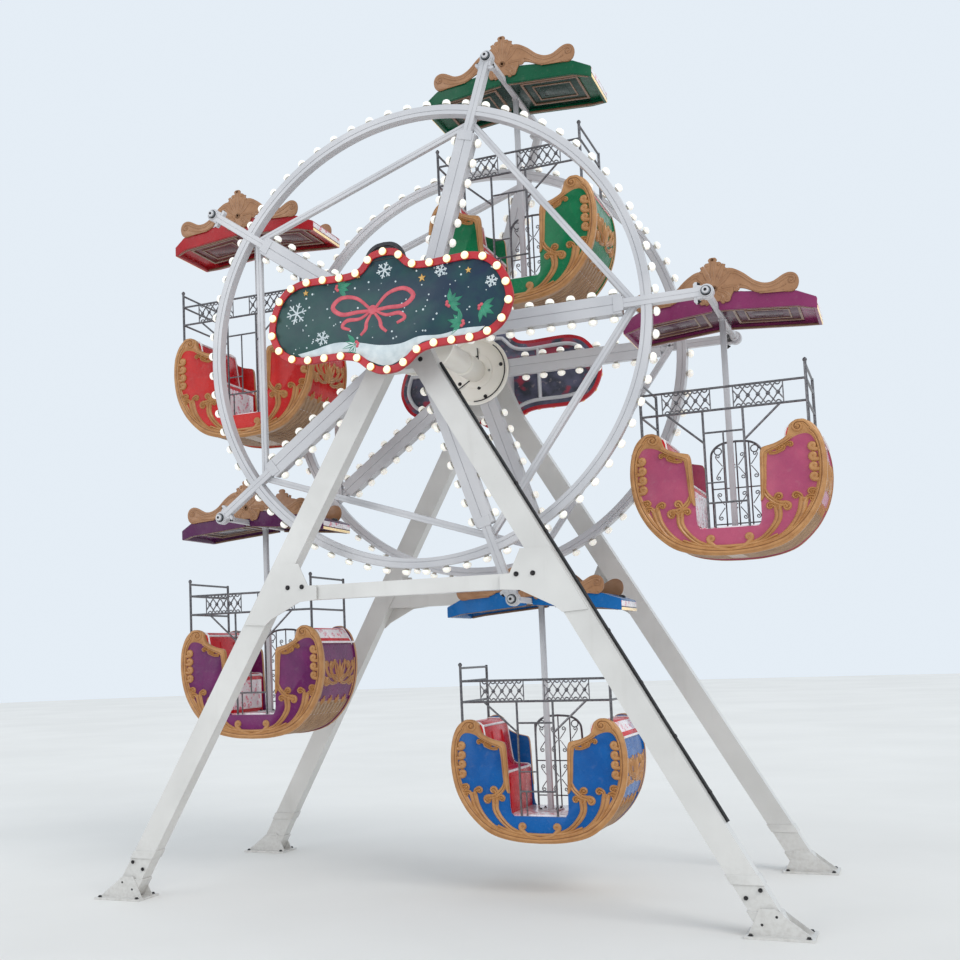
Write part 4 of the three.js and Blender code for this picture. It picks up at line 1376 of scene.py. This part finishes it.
def roof():
    """The canopy: a bent rim that is open beneath, a low top and the dressed ends."""
    made = Shape()
    made.loft([
        roof_ring(0.028, UNDERSIDE),
        roof_ring(0.026, RIM_LOW, 0.004, NOTCH_TOP),
        roof_ring(0.022, RIM_LOW, 0.0, NOTCH_TOP),
        roof_ring(0.004, RIM_LOW, 0.0, NOTCH_TOP),
        roof_ring(0.000, RIM_LOW, 0.004, NOTCH_TOP),
        roof_ring(0.000, RIM_TOP, -0.005),
        roof_ring(0.005, RIM_TOP),
    ], cap=bent_cap)
    hip = []
    for squeeze, drop, lift in HIP:
        ring = roof_ring(0.005, RIM_TOP, lift)
        hip.append([(x * squeeze, y * (1 - drop / ROOF_Y), z) for x, y, z in ring])
    made.loft(hip, cap=bent_cap)
    for hand in BOTH:
        place = endwise(hand, ROOF_X)
        for low, high, finish in END_BANDS:
            made.plate(rectangle(-0.254, low, 0.254, high), place, -0.006, -0.0004, 0.0008, finish)
        knob = [(0.030, 0.0), (0.030, 0.012), (0.022, 0.022), (0.008, 0.026)]
        made.lathe(knob, (hand * 0.585, 0.12, 0.002), UP, 14, 4)
    return made


def ceiling():
    """The underside: on each side of the crossbar a board with two frames and a pane, and trim at the rim."""
    made = Shape()
    slope = (UNDERSIDE[1][1] - UNDERSIDE[0][1]) / FOLD_X
    x1, y1 = ROOF_X - 0.030, ROOF_Y - 0.030
    centre = 0.320
    for hand in BOTH:
        place = lambda x, y, h, hand=hand: (hand * x, y, UNDERSIDE[0][1] + slope * x - h)
        made.plate(rectangle(0.022, -y1, FOLD_X, y1), place, -0.001, 0.003, 0.001)
        for half_x, half_y, width, height in ((0.215, 0.200, 0.026, 0.009), (0.145, 0.125, 0.018, 0.006)):
            loop = rectangle(centre - half_x, -half_y, centre + half_x, half_y)
            made.moulding(loop, width, height, raised(place, 0.003), FLAT_BAND, 1, closed=True)
        made.plate(rectangle(centre - 0.10, -0.08, centre + 0.10, 0.08), place, 0.002, 0.0045, 0.001, 2)
        for side in BOTH:
            plan = [(x, y1 - 0.003) for x in (NOTCH_X + 0.008, 0.2, FOLD_X)] + [(x1, FOLD_Y - 0.012)]
            low = [(hand * x, side * y, sloped(RIM_LOW, x, 0.004)) for x, y in plan]
            for a, b in zip(low, low[1:]):
                made.bar(a, b, 0.016, 0.015, UP, 0.002, 1)
    return made


# The crest's half outline: round its top from the middle, then back along its lower edge
CREST = [(0, 0.346), (0.020, 0.343), (0.031, 0.328), (0.026, 0.312), (0.046, 0.310), (0.060, 0.296),
         (0.056, 0.276), (0.078, 0.270), (0.092, 0.258), (0.112, 0.256), (0.148, 0.242), (0.205, 0.203),
         (0.262, 0.150), (0.310, 0.122), (0.350, 0.112), (0.390, 0.116), (0.425, 0.134), (0.462, 0.154),
         (0.499, 0.163), (0.535, 0.152), (0.556, 0.124), (0.560, 0.086), (0.548, 0.048), (0.520, 0.026),
         (0.485, 0.026), (0.440, 0.034), (0.360, 0.040), (0.290, 0.050), (0.245, 0.072), (0.205, 0.092),
         (0.168, 0.100), (0.135, 0.088), (0.120, 0.066), (0.108, 0.040), (0.092, 0.018), (0.076, 0.026),
         (0.062, 0.008), (0.044, 0.012), (0.034, 0.028), (0, 0.028)]
CREST_ARM = [(0.100, 0.226), (0.150, 0.216), (0.202, 0.178), (0.262, 0.124), (0.312, 0.096), (0.352, 0.088),
             (0.394, 0.093), (0.436, 0.112), (0.478, 0.134), (0.508, 0.138)]
CREST_LOW = [(0.175, 0.128), (0.215, 0.114), (0.262, 0.078), (0.312, 0.062), (0.370, 0.060), (0.430, 0.066),
             (0.476, 0.082)]
CREST_FOOT = [(0.300, 0.044), (0.380, 0.040), (0.460, 0.036), (0.520, 0.036)]
CREST_FAN_Z = 0.120
CREST_CURLS = (
    ([(0.030, 0.104), (0.066, 0.092), (0.096, 0.060), (0.094, 0.036)], 0.014, -1, 0.030, 0.008),
    ([(0.024, 0.084), (0.050, 0.064), (0.062, 0.038)], 0.011, -1, 0.022, 0.007),
    ([(0.050, 0.120), (0.110, 0.126), (0.150, 0.118)], 0.016, -1, 0.028, 0.008),
)


def crests():
    """The tan boards on the roof's front and back."""
    made = Shape()
    outline = mirrored(np.concatenate([catmull(CREST[:-1], 3), CREST[-1:]]))
    for side in BOTH:
        made.plate(outline, upright(side, ROOF_Y), -0.004, 0.012, 0.004)
        for hand in BOTH:
            crest_relief(made, upright(side, CREST_FACE, hand, CREST_RELIEF))
    return made


def crest_relief(made, place):
    """The scrolled arm, the fan of leaves over the middle and the leaf that drops beside the pin."""
    made.curl(CREST_ARM, 0.030, -1, 0.026, 0.0085, place, REED)
    made.moulding(catmull(CREST_LOW, 4), (0.012, 0.024, 0.010), 0.0075, place)
    made.moulding(catmull(CREST_FOOT, 4), (0.008, 0.012, 0.008), 0.006, place)
    for degrees, length, width in ((90, 0.205, 0.052), (66, 0.185, 0.044), (42, 0.150, 0.040)):
        x, z = math.cos(math.radians(degrees)), math.sin(math.radians(degrees))
        stem = [(0.006 * x, CREST_FAN_Z), (length * x * 0.55, CREST_FAN_Z + length * z * 0.5),
                (length * x, CREST_FAN_Z + length * z)]
        made.moulding(even(stem, 8), (0.012, width, width * 0.6), (0.005, 0.0085, 0.006), place, LEAF)
    for x, z, r in ((0.0, 0.328, 0.014), (0.040, 0.292, 0.012), (0.080, 0.252, 0.012)):
        made.dome((x, z), r, 0.0085, place)
    made.dome((0.0, 0.122), 0.026, 0.0085, place, 0, 14)
    for curl in CREST_CURLS:
        made.curl(*curl, place, LEAF)


# Hangers

def hanger():
    """The crossbar through the roof, its pins and the post that carries the tub."""
    made = Shape()
    made.bar((0, -CROSSBAR_END, 0), (0, CROSSBAR_END, 0), HANGER, HANGER, UP, 0.005)
    made.bar((0, 0, FLOOR + 0.010), (0, 0, -0.014), HANGER, HANGER, BACK, 0.005)
    made.lathe([(0.030, 0.0), (0.030, 0.010), (0.024, 0.014)], (0, 0, -0.018), (0, 0, -1), 20)
    made.bar((0, 0, FLOOR + 0.0085), (0, 0, FLOOR + 0.0185), 0.160, 0.160, BACK)
    for side in BOTH:
        out = (0, side, 0)
        made.lathe([(0.029, 0.0), (0.032, 0.004), (0.032, 0.033), (0.029, 0.037)],
                   (0, side * (CROSSBAR_END - 0.005), 0), out, 24)
        made.lathe([(0.0235, 0.0), (0.0235, 0.108), (0.0210, 0.112), (0.0105, 0.112)],
                   (0, side * (CROSSBAR_END + 0.030), 0), out, 24)
        made.lathe([(0.0100, 0.0), (0.0100, 0.004), (0.0080, 0.005)], (0, side * (CROSSBAR_END + 0.141), 0),
                   out, 16, 2)
        for x in (-0.06, 0.06):
            bolt(made, (x, side * 0.06, FLOOR + 0.018), UP, 0.008, 2)
    return made


# Cabins

# Each cabin piece: its shape and the node that it stands for, if it takes one's place
CABIN_PIECES = {
    "side_panels": (tub_panels, "tub"),
    "side_scrolls": (tub_trim, None),
    "shell": (tub_shell, None),
    "end_relief": (end_relief, None),
    "belly_reeds": (belly_reeds, None),
    "benches": (seats, "seats"),
    "railing": (railing, "guard"),
    "arched_gate": (gate, "gate"),
    "canopy": (roof, "roof"),
    "canopy_lining": (ceiling, None),
    "canopy_crests": (crests, None),
    "hanging_bar": (hanger, "hanger"),
}


def dressed(k):
    """The slot and the materials of each of a cabin's pieces."""
    return {
        "side_panels": (SLOTS[k], [PAINT[k]]),
        "side_scrolls": (SLOTS[k], [GOLD]),
        "shell": (SLOTS[k], [PAINT[k], BELLY, WHITE_GEL]),
        "end_relief": (SLOTS[k], [GOLD]),
        "belly_reeds": (SLOTS[k], [BELLY]),
        "benches": ("seat_shell", [RED_GEL, WHITE_GEL, PRINT, RED_GEL if k == BLUE_CABIN else PRINT]),
        "railing": ("rail_steel", [RAIL_STEEL]),
        "arched_gate": ("rail_steel", [RAIL_STEEL]),
        "canopy": (SLOTS[k], [HOOD[k], PRINT, LINING[k], PAINTED_GLOW_CREAM_BAND, IRON]),
        "canopy_lining": (SLOTS[k], [LINING[k], TAN, PANE[k]]),
        "canopy_crests": (SLOTS[k], [CREST_TAN]),
        "hanging_bar": ("white_paint", [WHITE, STEEL, BOLT]),
    }


def cabins():
    """Every cabin, in its own colours."""
    for word, (build, node) in CABIN_PIECES.items():
        shape = build()
        for k, pivot in PIVOTS.items():
            slot, materials = dressed(k)[word]
            replaces = (f"cabin_{k}_{node}",) if node else ()
            shape.show(f"cabin_{k}_{word}", materials, f"cabin_{k}", slot, replaces, pivot)


# Stage

SKY, SKY_STRENGTH, STAGE_R = (0.85, 0.925, 1.0, 1), 0.92, 60

# Distant lights: degrees across, strength, where each shines from and whether it casts shadows
LIGHTS = {
    "key": (32, 1.10, (8, -5, 8), True),
    "fill": (36, 0.50, (-8, -11, 3.5), True),
    "bounce": (60, 0.45, (3, -8, -7), False),
}
CAMERA_AT = (3.1421, -9.2537, 1.7516)
CAMERA_YAW, CAMERA_PITCH, CAMERA_ROLL = 0.4341, 0.0952, -0.0334
CAMERA_LENS, CAMERA_SHIFT = 46.82, (0.150, 0.0617)


def stage():
    """A pale floor, an even sky and three distant lights, the last one a glow from the ground."""
    floor = Shape()
    floor.plate(circle(STAGE_R, 64), lambda x, y, h: (x, y, h), -0.05, -0.0005, 0.01)
    paving = plain("pale_floor", rgb(226, 224, 220), rgb(220, 218, 214), 0.8, 0.3)
    add_object("floor", floor.mesh("floor", [paving]))
    world = bpy.data.worlds.new("soft_sky")
    world.use_nodes = True
    background = world.node_tree.nodes["Background"]
    background.inputs["Color"].default_value = SKY
    background.inputs["Strength"].default_value = SKY_STRENGTH
    bpy.context.scene.world = world
    bpy.context.scene.view_settings.view_transform = "Standard"
    for name, (angle, strength, source, shadows) in LIGHTS.items():
        light = bpy.data.lights.new(name, "SUN")
        light.angle = math.radians(angle)
        light.energy = strength
        light.use_shadow = shadows
        add_object(name, light).rotation_euler = (-Vector(source)).to_track_quat("-Z", "Y").to_euler()


def camera():
    """The photograph's viewpoint: eye height, to the right of the wheel and looking a little up."""
    data = bpy.data.cameras.new("camera")
    data.lens = CAMERA_LENS
    data.sensor_width = 36
    data.shift_x, data.shift_y = CAMERA_SHIFT
    made = add_object("camera", data)
    level = math.cos(CAMERA_PITCH)
    ahead = Vector((-math.sin(CAMERA_YAW) * level, math.cos(CAMERA_YAW) * level, math.sin(CAMERA_PITCH)))
    right = ahead.cross(Vector(UP)).normalized()
    up = right.cross(ahead)
    c, s = math.cos(CAMERA_ROLL), math.sin(CAMERA_ROLL)
    turned = Matrix((c * right + s * up, c * up - s * right, -ahead)).transposed()
    made.matrix_world = Matrix.Translation(CAMERA_AT) @ turned.to_4x4()
    bpy.context.scene.camera = made


camera()
stage()
frames()
signs()
wheels()
cabins()
